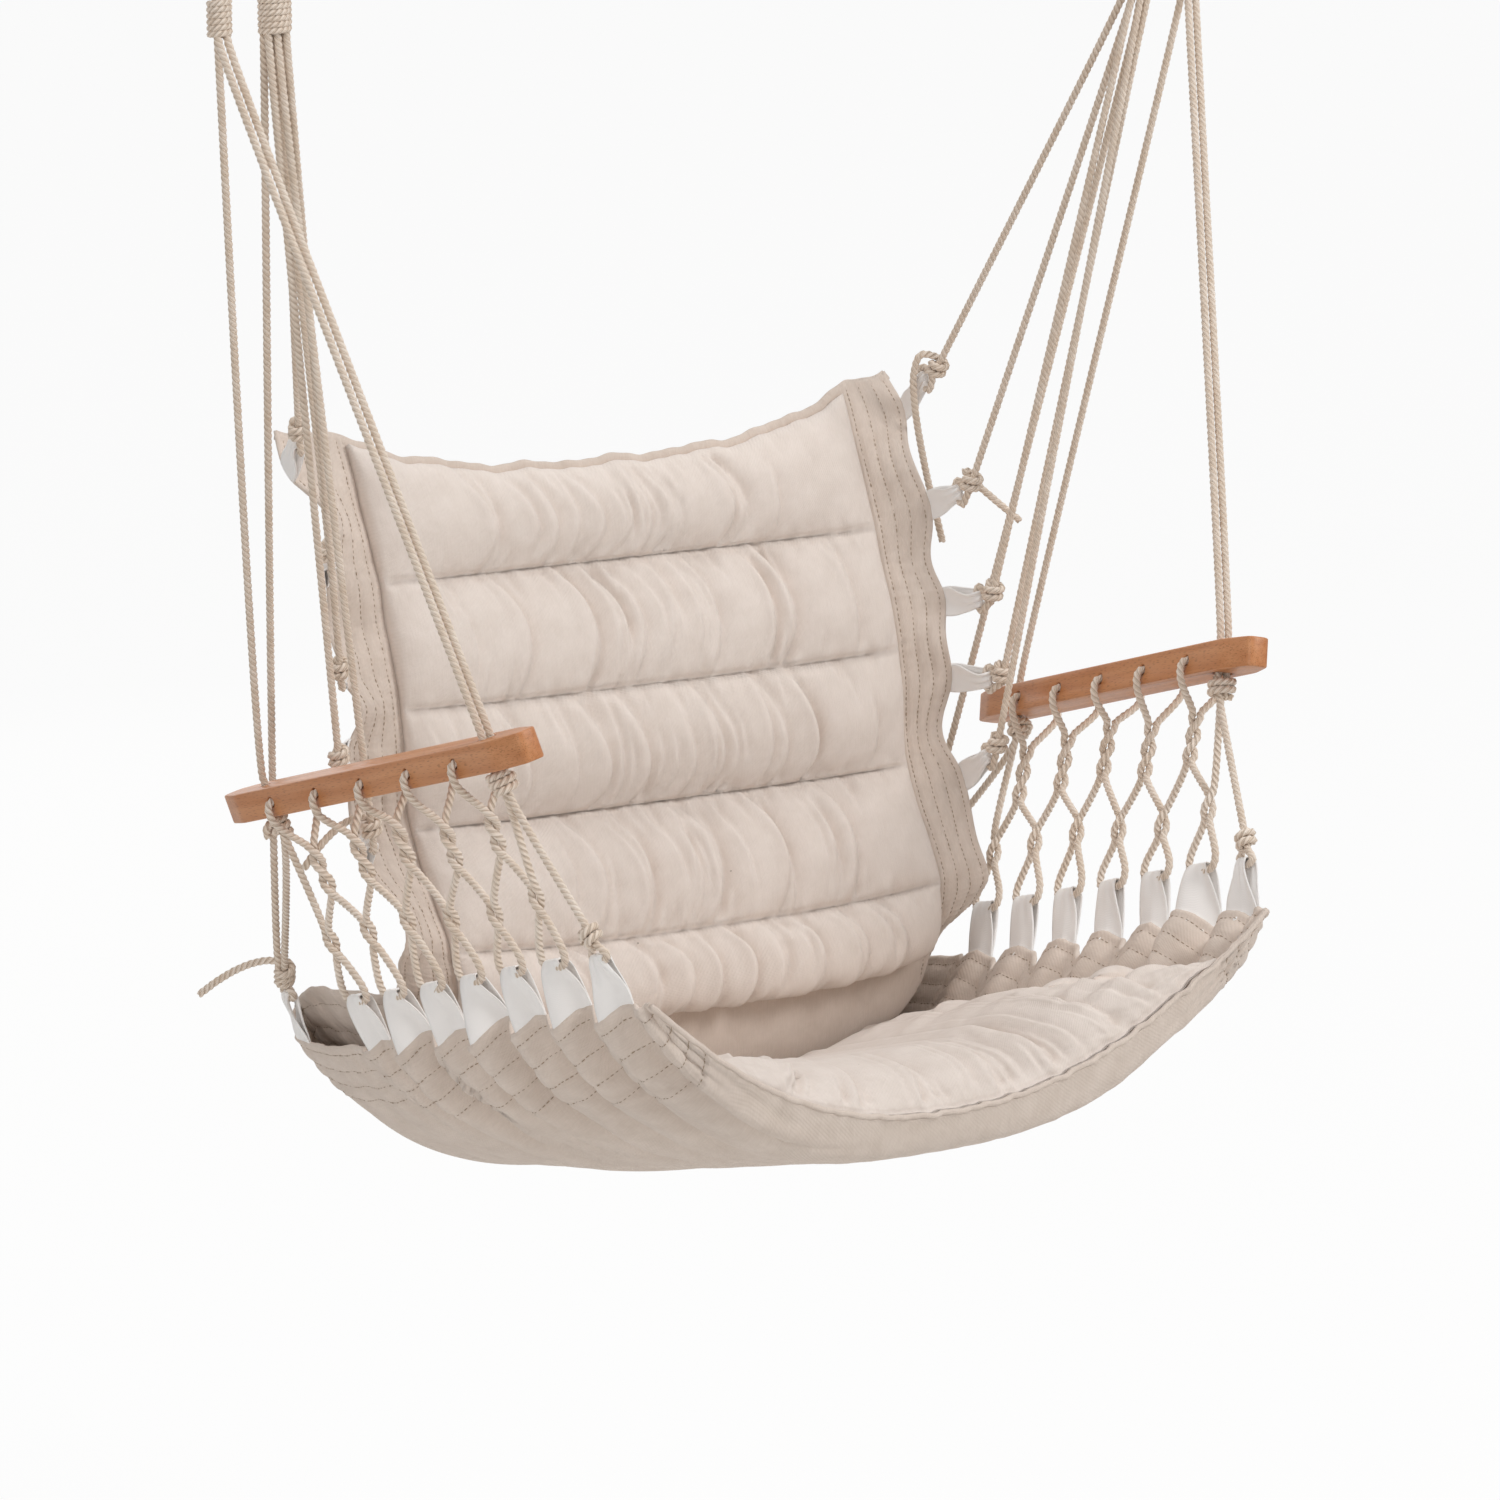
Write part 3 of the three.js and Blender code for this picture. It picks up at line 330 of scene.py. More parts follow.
# The canvas as it really lies: hems that wave and curl between the back's loops, and folds that run down
# from the seat's. The seat's hems are drawn up to a peak at each loop, and turn to and fro from one loop to
# the next.
BACK_WAVES_MM = {"left": [5, -8, 17, -9, 16, -7, 4], "right": [6, -7, 8, -9, 8, 5, -4]}
BACK_WAVE_ROWS = [-0.4, *BACK_LOOP_ROWS, 4.3, FOLD_LOOP_ROW]
BACK_FADE_ROWS = (4.4, 6.5)
BACK_DRAW_IN = 7 * MM
CORNER_DROP = 15 * MM
CORNER_SPREAD = 9 * MM
CORNER_ROWS = 0.7
TOP_WAVE = 1.3 * MM
TOP_WAVE_ROWS = 0.4
FRONT_GATHER = 0.6 * MM
FRONT_GATHER_ROW = 15.2
# Small waves along an edge or a seam: how fast each runs across the sling, where it starts, and its size
TOP_RIPPLES = [(23, 1, 1), (41, 0, 0.6), (90, 0, 0.3)]
FRONT_RIPPLES = [(58, 2, 1), (87, 0, 0.8), (131, 1, 0.6)]
ROLL_RIPPLES = [(190, 0, 0.1), (71, 1, 0.08)]
CHANNELS = 5
FOLD_BULGE = 74 * MM
FOLD_SAG = 24 * MM
FOLD_END_POWER = 12
SEAM_DRAW = 3 * MM
SEAM_DRAW_ROWS = 0.11
PEAK_DIP = 6 * MM
PEAK_MEAN_SHARE = 0.7
HEM_TURNS_MM = {"left": [3, 5, 13, 8, 15, 6, 12, 9, 5], "right": [3, 5, 4, 3, 5, 4, 17, 6, 10]}
DRAPE_DEPTH = 17 * MM
DRAPE_START_SHARE = 0.12
DRAPE_START_ROWS = (9.6, 11.2)
DRAPE_END_ROWS = (15.7, 16.6)
DRAPE_LEAN = 1.7
DRAPE_CELLS = 16
RIGHT_DRAPE_SHARE = 0.42
RUMPLE_SIZE = 0.7 * MM
drape_random = np.random.default_rng(7)
DRAPE_SIZES = drape_random.uniform(0.5, 1.4, 2 * DRAPE_CELLS)
DRAPE_PHASES = drape_random.uniform(-0.12, 0.12, 2 * DRAPE_CELLS)
RUMPLES = [(drape_random.uniform(3, 16), drape_random.uniform(1.5, 6), drape_random.uniform(0, 6.28),
            drape_random.uniform(0.2, 0.6)) for _ in range(10)]


def between_back_loops(row):
    rows = np.array(BACK_WAVE_ROWS)
    index = np.clip(np.searchsorted(rows, row, side="right") - 1, 0, len(rows) - 2)
    phase = np.clip((row - rows[index]) / (rows[index + 1] - rows[index]), 0, 1)
    return index, np.sin(np.pi * phase) ** 2


def ripple(across, waves):
    return sum(size * np.sin(across * rate + start) for rate, start, size in waves)


def sided(side, values):
    """Each point's own side of a pair of values."""
    return np.where(side > 0, values["right"], values["left"])


def canvas_surface(across, row):
    across, row = np.broadcast_arrays(np.asarray(across, float), np.asarray(row, float))
    point = sling_surface(across, row)
    normal = sling_normal(sling_surface, across, row)
    share, side = np.abs(across), np.sign(across)
    # The back's hems wave to and fro, and are drawn in, between one loop and the next
    index, wave = between_back_loops(row)
    on_back = 1 - smoothstep(row, *BACK_FADE_ROWS)
    sizes = sided(side, {name: np.array(waves)[index] * MM for name, waves in BACK_WAVES_MM.items()})
    point[..., 0] -= side * BACK_DRAW_IN * wave * smoothstep(share, 0.82, 1.0) * on_back
    lift = -sizes * wave * smoothstep(share, 0.8, 1.0) * on_back
    # The back's top corners are blunt, and below its pad the canvas bulges forward before the fold
    corner = smoothstep(share, 0.84, 1.0) * (1 - smoothstep(row, 0, CORNER_ROWS))
    at_top = (1 - smoothstep(row, 0, TOP_WAVE_ROWS)) * (1 - corner)
    point[..., 2] += TOP_WAVE * ripple(across, TOP_RIPPLES) * at_top
    point[..., 2] -= CORNER_DROP * corner
    point[..., 0] += side * CORNER_SPREAD * corner
    bulge = smoothstep(row, CHANNELS, CHANNELS + 1.2) * (1 - smoothstep(row, CHANNELS + 1.3, BACK_END_ROW))
    bulge = bulge * (1 - share ** FOLD_END_POWER)
    point[..., 1] -= FOLD_BULGE * bulge
    point[..., 2] -= FOLD_SAG * bulge * share ** 2
    # The pad's seams draw the canvas in, with small puckers beside them
    for seam in range(1, CHANNELS):
        near = np.exp(-(((row - seam) / SEAM_DRAW_ROWS) ** 2)) * (1 - smoothstep(share, 0.76, 0.84))
        lift = lift + SEAM_DRAW * near * (1 + ripple(across, [(67, seam, 0.3), (113, 0, 0.25)]))
    # The welt gathers the seat's front edge
    at_front = smoothstep(row, FRONT_GATHER_ROW, LAST_ROW) * (1 - smoothstep(share, 0.8, 0.95))
    lift = lift + FRONT_GATHER * ripple(across, FRONT_RIPPLES) * at_front
    # Folds of the seat lean forward as they run down, and die out under the pad
    on_seat = smoothstep(row, *DRAPE_START_ROWS) * (1 - smoothstep(row, *DRAPE_END_ROWS))
    loop = (row - FIRST_LOOP_ROW) / LOOP_ROW_STEP
    depth = 1 - share
    phase = loop - DRAPE_LEAN * depth
    cell = np.clip(np.floor(phase + 0.5).astype(int) + 4 + DRAPE_CELLS * (side > 0), 0, 2 * DRAPE_CELLS - 1)
    phase = phase + DRAPE_PHASES[cell] * depth * 2
    drape = DRAPE_DEPTH * DRAPE_SIZES[cell] * ((np.sin(np.pi * phase) ** 2 + 0.012) ** 0.35 - 0.6)
    fade = smoothstep(share, DRAPE_START_SHARE, 0.84) ** 1.4
    fade = fade * (1 - 0.5 * smoothstep(share, 0.88, 1.0)) * np.where(row > FIRST_LOOP_ROW, 1, 0.5)
    lift = lift - on_seat * fade * sided(side, {"left": 1, "right": RIGHT_DRAPE_SHARE}) * drape
    # The seat's hems turn out and in on their way from loop to loop
    turned = np.sin(2 * np.pi * phase) + 0.25 * np.sin(4 * np.pi * phase)
    hem_turn = sided(side, {name: np.interp(loop + 1, np.arange(len(turns)), np.array(turns) * MM)
                            for name, turns in HEM_TURNS_MM.items()})
    lift = lift - side * on_seat * hem_turn * turned * smoothstep(share, 0.62, 0.95)
    # Each peak of a seat hem is pointed, where the solid's is level
    peak = 1 - np.abs(np.sin(np.pi * loop)) ** 0.8
    inside = (row > FIRST_LOOP_ROW - 0.3) & (row < LAST_LOOP_ROW + 0.3)
    point[..., 2] += np.where(inside, (peak - PEAK_MEAN_SHARE) * PEAK_DIP, 0) * smoothstep(share, 0.75, 1.0)
    for along, sideways, start, size in RUMPLES:
        rumple = size * np.sin(along * row + sideways * across * 3 + start)
        lift = lift + RUMPLE_SIZE * rumple * smoothstep(share, 0.3, 0.8)
    return point + normal * lift[..., None]


def canvas_point(across, row, offset=0.0):
    return point_on(canvas_surface, across, row, offset)


# Cloth and its weave: how often mottles, slubs, flecks and crumples come to the metre, and how deep the
# threads and the crumples are. Both cloths are of unbleached cotton.
MOTTLE_SCALE = 45
SLUB_SCALES = (900, 90, 1)
FLECK_SCALE = 34
FLECK_SIZE = 0.028
FLECK_CHANCE = 0.16
FLECK_STRENGTH = 0.55
CRUMPLE_SCALE = 70
THREAD_RELIEF = 0.3 * MM
CRUMPLE_RELIEF = 1.2 * MM


def woven(name, colour, shade, fleck, thread_mm, sheen):
    """Plain cotton weave: matt, with slubs, a few dark seed flecks, and threads that catch the light."""
    material, tree = blank_material(name)
    uv = add(tree, "ShaderNodeUVMap", {"uv_map": "cloth"})[0]
    mottle = noise(tree, uv, MOTTLE_SCALE, 5, Roughness=0.6)
    slubs = noise(tree, stretched(tree, uv, SLUB_SCALES), 1, 2)
    tone = ranged(tree, mixed(tree, 0.35, mottle, slubs), 0.35, 0.65)
    base = mixed_colour(tree, tone, linear(shade), linear(colour))
    specks = add(tree, "ShaderNodeTexVoronoi", {"feature": "F1"}, {"Vector": uv, "Scale": FLECK_SCALE})
    chance = add(tree, "ShaderNodeSeparateColor", (), {"Color": specks["Color"]})[0]
    chosen = number(tree, "MULTIPLY", number(tree, "LESS_THAN", specks["Distance"], FLECK_SIZE),
                    number(tree, "LESS_THAN", chance, FLECK_CHANCE))
    flecked = mixed_colour(tree, number(tree, "MULTIPLY", chosen, FLECK_STRENGTH), base, linear(fleck))
    # A wave texture's diagonal bands repeat every pi / 5 divided by the scale
    scale = math.pi / 5 / (thread_mm * MM)
    threads = [add(tree, "ShaderNodeTexWave", {"bands_direction": way},
                   {"Vector": uv, "Scale": size, "Distortion": bend, "Detail": 1, "Detail Scale": 2})["Fac"]
               for way, size, bend in (("DIAGONAL", scale / 2, 0.6), ("Y", scale, 0.4))]
    weave = relief(tree, number(tree, "ADD", *threads), 0.5, THREAD_RELIEF)
    crumpled = relief(tree, noise(tree, uv, CRUMPLE_SCALE, 3), 0.5, CRUMPLE_RELIEF, Normal=weave)
    shaded_by(tree, Base_Color=flecked, Roughness=0.94, Specular_IOR_Level=0.25,
              Sheen_Weight=sheen, Sheen_Roughness=0.6, Normal=crumpled)
    return material


canvas = woven("unbleached cotton canvas", "#E3D4C8", "#D6C6B9", "#7C6A58", 1.5, 0.15)


def smooth_faces(mesh):
    mesh.polygons.foreach_set("use_smooth", np.ones(len(mesh.polygons), bool))


def mesh_piece(name, vertices, faces, material, uv=None, shift=True):
    """A mesh object at the origin, with the chair's datum added to its points and a cloth map in metres."""
    mesh = bpy.data.meshes.new(name)
    points = np.asarray(vertices, float).reshape(-1, 3) + (np.array(datum) if shift else 0)
    mesh.from_pydata(points.tolist(), [], faces)
    if uv is not None:
        layer = mesh.uv_layers.new(name="cloth")
        corner_vertex = np.zeros(len(mesh.loops), np.int32)
        mesh.loops.foreach_get("vertex_index", corner_vertex)
        layer.data.foreach_set("uv", np.asarray(uv, np.float32).reshape(-1, 2)[corner_vertex].ravel())
    smooth_faces(mesh)
    mesh.materials.append(material)
    return placed(name, mesh)


def quads(index):
    """The four-sided faces between the neighbouring points of a grid."""
    return np.stack([index[:-1, :-1], index[1:, :-1], index[1:, 1:], index[:-1, 1:]], -1).reshape(-1, 4)


def shell_faces(rows, columns):
    """Faces of a closed shell between two grids of one size: the first is the side that shows its face."""
    first = np.arange(rows * columns).reshape(rows, columns)
    rim = np.concatenate([first[0, :-1], first[:-1, -1], first[-1, :0:-1], first[:0:-1, 0]])
    below = rim + rows * columns
    band = np.stack([rim, np.roll(rim, -1), np.roll(below, -1), below], -1)
    return np.concatenate([quads(first), quads(first + rows * columns)[:, [0, 3, 2, 1]], band]).tolist()


def shell_piece(name, upper, lower, uv, material):
    points = np.concatenate([upper.reshape(-1, 3), lower.reshape(-1, 3)])
    return mesh_piece(name, points, shell_faces(*upper.shape[:2]), material, np.stack([uv, uv]))


def cloth_map(grid):
    """How far each point of a grid lies along the cloth, in metres, across and along."""
    across = np.linalg.norm(np.diff(grid, axis=1, prepend=grid[:, :1]), axis=-1).cumsum(1)
    along = np.linalg.norm(np.diff(grid, axis=0, prepend=grid[:1]), axis=-1).cumsum(0)
    return np.stack([across - across[:, across.shape[1] // 2, None], along], -1)


HEM_START = 1 - HEM_WIDTH / SLING_HALF_WIDTH
HEM_STEP_SHARE = 0.006
STITCH_ROW_SHARES = [0.08, 0.35, 0.62, 0.88]
stitch_places = [HEM_START + share * (1 - HEM_START) for share in STITCH_ROW_SHARES]
STITCH_GROOVE = 1.25 * MM
STITCH_GROOVE_WIDTH = 2.3 * MM
EDGE_ROUND = 2.5 * MM
EDGE_FLATTEN = 0.96
LEAST_HALF_DEPTH = 0.6 * MM
PUCKER = 0.45 * MM
puckers = [(drape_random.uniform(9, 26) * 2 * math.pi, drape_random.uniform(0, 6.28)) for _ in range(6)]


def half_thickness(across, row):
    """Half the canvas's thickness: doubled at the hem, drawn in along its stitches, round at the edge."""
    share = np.abs(across)
    step = smoothstep(share, HEM_START - HEM_STEP_SHARE, HEM_START + HEM_STEP_SHARE)
    half_depth = (CANVAS_THICKNESS + (HEM_THICKNESS - CANVAS_THICKNESS) * step) / 2
    uneven = sum(np.sin(rate * row + start + 9 * share) for rate, start in puckers) / 3
    half_depth = half_depth + step * PUCKER * uneven
    for place in stitch_places:
        near = np.exp(-(((share - place) * SLING_HALF_WIDTH / STITCH_GROOVE_WIDTH) ** 2))
        half_depth = half_depth - near * STITCH_GROOVE
    rounding = np.clip((1 - share) * SLING_HALF_WIDTH / EDGE_ROUND, 0, 1)
    return np.maximum(half_depth, LEAST_HALF_DEPTH) * np.sqrt(1 - (1 - rounding) ** 2 * EDGE_FLATTEN)


# The canvas's grid is fine over the hems, and each panel has its own number of rows
HEM_LEAD_SHARE = 0.012
HEM_COLUMNS = 46
INNER_COLUMNS = 34
BACK_PANEL_ROWS = 260
SEAT_PANEL_ROWS = 280
hem_columns = np.linspace(HEM_START - HEM_LEAD_SHARE, 1, HEM_COLUMNS)
inner_columns = np.linspace(0, HEM_START - HEM_LEAD_SHARE, INNER_COLUMNS)[:-1]
half_columns = np.concatenate([inner_columns, hem_columns])
columns = np.concatenate([-half_columns[:0:-1], half_columns])


def canvas_panel(name, first, last, count, node):
    across, row = np.meshgrid(columns, np.linspace(first, last, count))
    depth = half_thickness(across, row)
    upper = canvas_point(across, row, depth)
    lower = canvas_point(across, row, -depth)
    panel = shell_piece(name, upper, lower, cloth_map((upper + lower) / 2), canvas)
    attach(panel, "chair")
    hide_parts(node)
    return panel


back_canvas = canvas_panel("back_canvas", 0, BACK_END_ROW, BACK_PANEL_ROWS, "back_sling")
seat_canvas = canvas_panel("seat_canvas", BACK_END_ROW, LAST_ROW, SEAT_PANEL_ROWS, "seat_sling")


def cut_of(first, last, count):
    """A panel's width, length and area when it lies flat, measured as it hangs: cloth doesn't stretch."""
    across, row = np.meshgrid(columns, np.linspace(first, last, count))
    grid = canvas_point(across, row)
    width = float(np.linalg.norm(np.diff(grid, axis=1), axis=-1).sum(1).max())
    length = float(np.linalg.norm(np.diff(grid, axis=0), axis=-1).sum(0).max())
    one = np.cross(grid[1:, :-1] - grid[:-1, :-1], grid[1:, 1:] - grid[:-1, :-1])
    two = np.cross(grid[1:, 1:] - grid[:-1, :-1], grid[:-1, 1:] - grid[:-1, :-1])
    area = float((np.linalg.norm(one, axis=-1) + np.linalg.norm(two, axis=-1)).sum() / 2)
    return (width, length), area


# The back pad: a quilted cover of cotton twill over loose wadding, sewn down along four seams into five
# channels. The back is hollow, so the cover is too wide for it and creases upright across each channel.
PAD_BASE = 2.6 * MM
PAD_UNDERSIDE = 1.4 * MM
CHANNEL_DEPTH = 34 * MM
SWELL_ALLOWANCE = 4 * MM
PAD_SHARE = HEM_START - 3 * MM / SLING_HALF_WIDTH
SEAM_DEPTH = 4 * MM
CHANNEL_SAG = 7 * MM
cover = woven("cotton twill cover", "#ECE0D7", "#E2D5CB", "#8A7866", 1.4, 0.2)
crease_random = np.random.default_rng(11)
# Where each channel's longest creases lie, as shares of the pad's half width, from its left to its right
LONG_CREASE_SHARES = [[-0.63, -0.36, -0.2, 0.02, 0.34], [-0.58, -0.3, -0.12, 0.2, 0.42, 0.5],
                      [-0.66, -0.35, -0.18, 0.12, 0.38, 0.52], [-0.45, -0.25, 0.02, 0.3, 0.6],
                      [-0.55, -0.2, 0.08, 0.36, 0.55, 0.72]]
CREASE_BOW = 0.085
CREASE_DEPTH = 7.4 * MM
CREASE_BEAD = 7 * MM
STEEP_SIDE = 1.7 * MM
GENTLE_SIDE = 11 * MM
LONG_SIZES = (0.75, 1.1)
SHORT_CREASES = 15
SHORT_SIZES = (0.3, 0.75)
SHORT_SPREAD = 0.36
PUCKERS_PER_SEAM = 42
PUCKER_SIZES = (0.25, 0.55)
PUCKER_SPREAD = 0.5
PUCKER_REACHES = (0.12, 0.4)


def crease(gap, size):
    """A fold of slack cloth at a distance from its line: a steep drop from the left, then a gentle rise."""
    gap = gap * SLING_HALF_WIDTH
    fall = np.where(gap > 0, np.exp(-gap / (GENTLE_SIDE * size)), np.exp(gap / STEEP_SIDE))
    return CREASE_DEPTH * size * (0.3 * np.exp(-((gap / (CREASE_BEAD * size) + 1.1) ** 2)) - fall)


def creases(across, phase, random, long_shares, bow, short_count, pucker_count):
    """Upright creases over one channel, bowed to the right, and short puckers that run out from its seams."""
    arc = bow * (1 - 4 * (phase - 0.5) ** 2)
    height = np.zeros(np.broadcast(across, phase).shape)
    for share in long_shares:
        size = random.uniform(*LONG_SIZES)
        height = height + crease(across - share * PAD_SHARE - arc * random.uniform(0.75, 1.05), size)
    for _ in range(short_count):
        size = random.uniform(*SHORT_SIZES)
        place = np.clip(random.normal(0.0, SHORT_SPREAD), -0.8, 0.8) * PAD_SHARE
        top = random.uniform(-0.3, 0.4)
        end = random.uniform(0.6, 1.3)
        path = place + arc * random.uniform(0.4, 1.1) + random.normal(0, 0.02) * phase
        span = smoothstep(phase, top - 0.1, top + 0.2) * (1 - smoothstep(phase, end - 0.2, end + 0.1))
        height = height + span * crease(across - path, size)
    for _ in range(pucker_count):
        size = random.uniform(*PUCKER_SIZES)
        place = np.clip(random.normal(0, PUCKER_SPREAD), -0.95, 0.95) * PAD_SHARE
        reach = random.uniform(*PUCKER_REACHES)
        away = 1 - phase if random.random() < 0.6 else phase
        path = place + random.normal(0, 0.04) * away + arc * 0.5
        span = (1 - smoothstep(away, reach * 0.3, reach)) * smoothstep(away, 0, 0.05)
        height = height + span * crease(across - path, size)
    return height


def drawn_in(share):
    return np.sqrt(1 - np.minimum(np.abs(share), 1) ** 6)


# How the covers are blown up. Both are light cloth that bends easily, held fast where it is sewn.
CLOTH_SETTINGS = {"quality": 5, "mass": 0.12, "tension_stiffness": 25, "compression_stiffness": 25,
                  "shear_stiffness": 12, "bending_stiffness": 0.35, "air_damping": 2.0, "use_pressure": True,
                  "uniform_pressure_force": 3.0, "vertex_group_mass": "sewn"}
CLOTH_STEPS = 22
SWELL_LIMIT = 8 * MM
# The simulation takes every second row and every third column of a cover's fine grid
COARSE_ROWS = 2
COARSE_COLUMNS = 3


def sew_and_fill(name, fine_start, ease, sewn):
    """Blows a sewn cover up from behind, with cloth simulation on a coarse grid, and gives back the fine
    grid's points. Ease makes the cloth wider than its place, and sewn says where it is held fast."""
    coarse = (slice(None, None, COARSE_ROWS), slice(None, None, COARSE_COLUMNS))
    start = fine_start[coarse]
    mesh = bpy.data.meshes.new(name)
    index = np.arange(start[..., 0].size).reshape(start.shape[:2])
    mesh.from_pydata(start.reshape(-1, 3).tolist(), [], quads(index).tolist())
    obj = placed(name, mesh)
    group = obj.vertex_groups.new(name="sewn")
    for vertex in np.flatnonzero(sewn[coarse].ravel()):
        group.add([int(vertex)], 1.0, "REPLACE")
    obj.shape_key_add(name="start")
    slack = obj.shape_key_add(name="cut size")
    slack.data.foreach_set("co", ease(start).astype(np.float32).ravel())
    modifier = obj.modifiers.new("cloth", "CLOTH")
    for setting, value in CLOTH_SETTINGS.items():
        setattr(modifier.settings, setting, value)
    modifier.settings.rest_shape_key = slack
    modifier.settings.effector_weights.gravity = 0
    modifier.collision_settings.use_collision = False
    modifier.point_cache.frame_end = CLOTH_STEPS
    for step in range(1, CLOTH_STEPS + 1):
        scene.frame_set(step)
    evaluated = obj.evaluated_get(bpy.context.evaluated_depsgraph_get())
    result = np.zeros(start.size, np.float32)
    evaluated.data.vertices.foreach_get("co", result)
    moved = result.reshape(start.shape).astype(float) - start
    bpy.data.objects.remove(obj)
    bpy.data.meshes.remove(mesh)
    scene.frame_set(1)
    length = np.linalg.norm(moved, axis=-1, keepdims=True)
    moved = moved * np.minimum(1, SWELL_LIMIT / np.maximum(length, 1e-9))
    return fine_start + finer(moved, fine_start.shape[:2])


def finer(coarse, shape):
    """A grid of values brought to a finer grid over the same field."""
    rows, columns_here = coarse.shape[:2]
    row = np.linspace(0, rows - 1, shape[0])
    column = np.linspace(0, columns_here - 1, shape[1])
    r = np.minimum(row.astype(int), rows - 2)
    c = np.minimum(column.astype(int), columns_here - 2)
    down = (row - r)[:, None, None]
    aside = (column - c)[None, :, None]
    top = coarse[r][:, c] * (1 - aside) + coarse[r][:, c + 1] * aside
    low = coarse[r + 1][:, c] * (1 - aside) + coarse[r + 1][:, c + 1] * aside
    return top * (1 - down) + low * down


def hung(across, row):
    """How far the canvas lies from its plain surface, which the pads sewn to it follow."""
    return canvas_surface(across, row) - sling_surface(across, row)


def pad_piece(name, top, under_offset, across, row, cloth, node):
    """A filled cover over the canvas, from its upper face down to its underside."""
    under = sling_point(across, row, under_offset) + hung(across, row)
    pad = shell_piece(name, top, under, cloth_map(cloth), cover)
    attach(pad, "chair")
    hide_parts(node)


TOP_STRIP_ROWS = 0.06
FINE_COLUMNS = 301
ROWS_PER_CHANNEL = 26
SWELL_FULL_RATE = 1.7
BACK_EASE = 0.075
BACK_EASE_REACH = 0.85
pad_across, pad_row = np.meshgrid(np.linspace(-PAD_SHARE, PAD_SHARE, FINE_COLUMNS),
                                  np.linspace(0, CHANNELS, ROWS_PER_CHANNEL * CHANNELS + 1))
sewn_row = np.where(pad_row < 1, TOP_STRIP_ROWS + (1 - TOP_STRIP_ROWS) * pad_row, pad_row)
channel_phase = np.where(pad_row >= CHANNELS, 0.0, np.mod(pad_row, 1))
swell = np.sqrt(np.maximum(1 - (2 * channel_phase - 1) ** 2, 0)) * drawn_in(pad_across / PAD_SHARE)
sewn_thickness = SEAM_DEPTH + (CHANNEL_DEPTH - SWELL_ALLOWANCE - SEAM_DEPTH) * swell
pad_start = sling_point(pad_across, sewn_row, PAD_BASE + sewn_thickness) + hung(pad_across, sewn_row)
# The wadding sinks, so every channel overhangs the seam below it
pad_start[..., 2] -= CHANNEL_SAG * swell


def back_ease(start):
    """The back cover's cut size: too wide in its middle, and measured outward from its middle column."""
    across = pad_across[::COARSE_ROWS, ::COARSE_COLUMNS] / (BACK_EASE_REACH * PAD_SHARE)
    wider = 1 + BACK_EASE * np.exp(-(across ** 4))
    steps_across = np.diff(start[..., 0], axis=1) * wider[:, 1:]
    rest = start.copy()
    rest[..., 0] = np.concatenate([np.zeros((len(rest), 1)), steps_across.cumsum(1)], 1)
    rest[..., 0] -= rest[:, rest.shape[1] // 2, None, 0]
    return rest


at_side = np.isclose(np.abs(pad_across), PAD_SHARE)
pad_top = sew_and_fill("back_cover", pad_start, back_ease, at_side | np.isclose(pad_row, np.round(pad_row)))
folded = np.zeros_like(pad_row)
for channel, long_shares in enumerate(LONG_CREASE_SHARES):
    inside = (pad_row >= channel) & (pad_row < channel + 1 + (channel == CHANNELS - 1))
    channel_creases = creases(pad_across, np.clip(pad_row - channel, 0, 1), crease_random, long_shares,
                              CREASE_BOW, SHORT_CREASES, PUCKERS_PER_SEAM)
    folded = np.where(inside, channel_creases, folded)
normals = sling_normal(sling_surface, pad_across, sewn_row)
pad_top = pad_top + normals * (folded * np.minimum(swell * SWELL_FULL_RATE, 1))[..., None]
pad_piece("back_pad", pad_top, PAD_UNDERSIDE, pad_across, sewn_row, sling_point(pad_across, sewn_row),
          "back_cushion")


# The seat pad: the same filled cover in one field, with a full round roll along its front. It is sewn down at
# its sides, at its rear and along the welt.
SEAT_PAD_DEPTH = 60 * MM
FRONT_ROLL_DEPTH = 65 * MM
PAD_RIM = 8 * MM
PAD_EDGE = 2 * MM
REAR_RISE_SHARE = 0.17
ROLL_ROW = LAST_LOOP_ROW
PAD_FIRST_ROW = FIRST_LOOP_ROW + LOOP_ROW_STEP * LOOP_BASE_SHARE
SEAT_PAD_ROWS = 131
SEAT_CREASE_SHARES = [-0.72, -0.45, -0.2, 0.1, 0.33, 0.62, 0.8]
SEAT_CREASE_BOW = 0.05
SEAT_SHORT_CREASES = 16
SEAT_PUCKERS = 40
SEAT_EASE = 1.06
UNDER_GAP = 3.5 * MM
EDGE_FADE_SHARE = 0.06
END_FADE_SHARE = 0.07


def seat_pad_thickness(across, row):
    run = np.minimum((row - FIRST_LOOP_ROW) / (ROLL_ROW - FIRST_LOOP_ROW), 1)
    rise = 1 - np.minimum(run / REAR_RISE_SHARE, 1)
    depth = SEAT_PAD_DEPTH + (FRONT_ROLL_DEPTH - SEAT_PAD_DEPTH) * run - PAD_RIM
    return PAD_RIM + depth * np.sqrt(1 - rise ** 2) * drawn_in(across / PAD_SHARE)


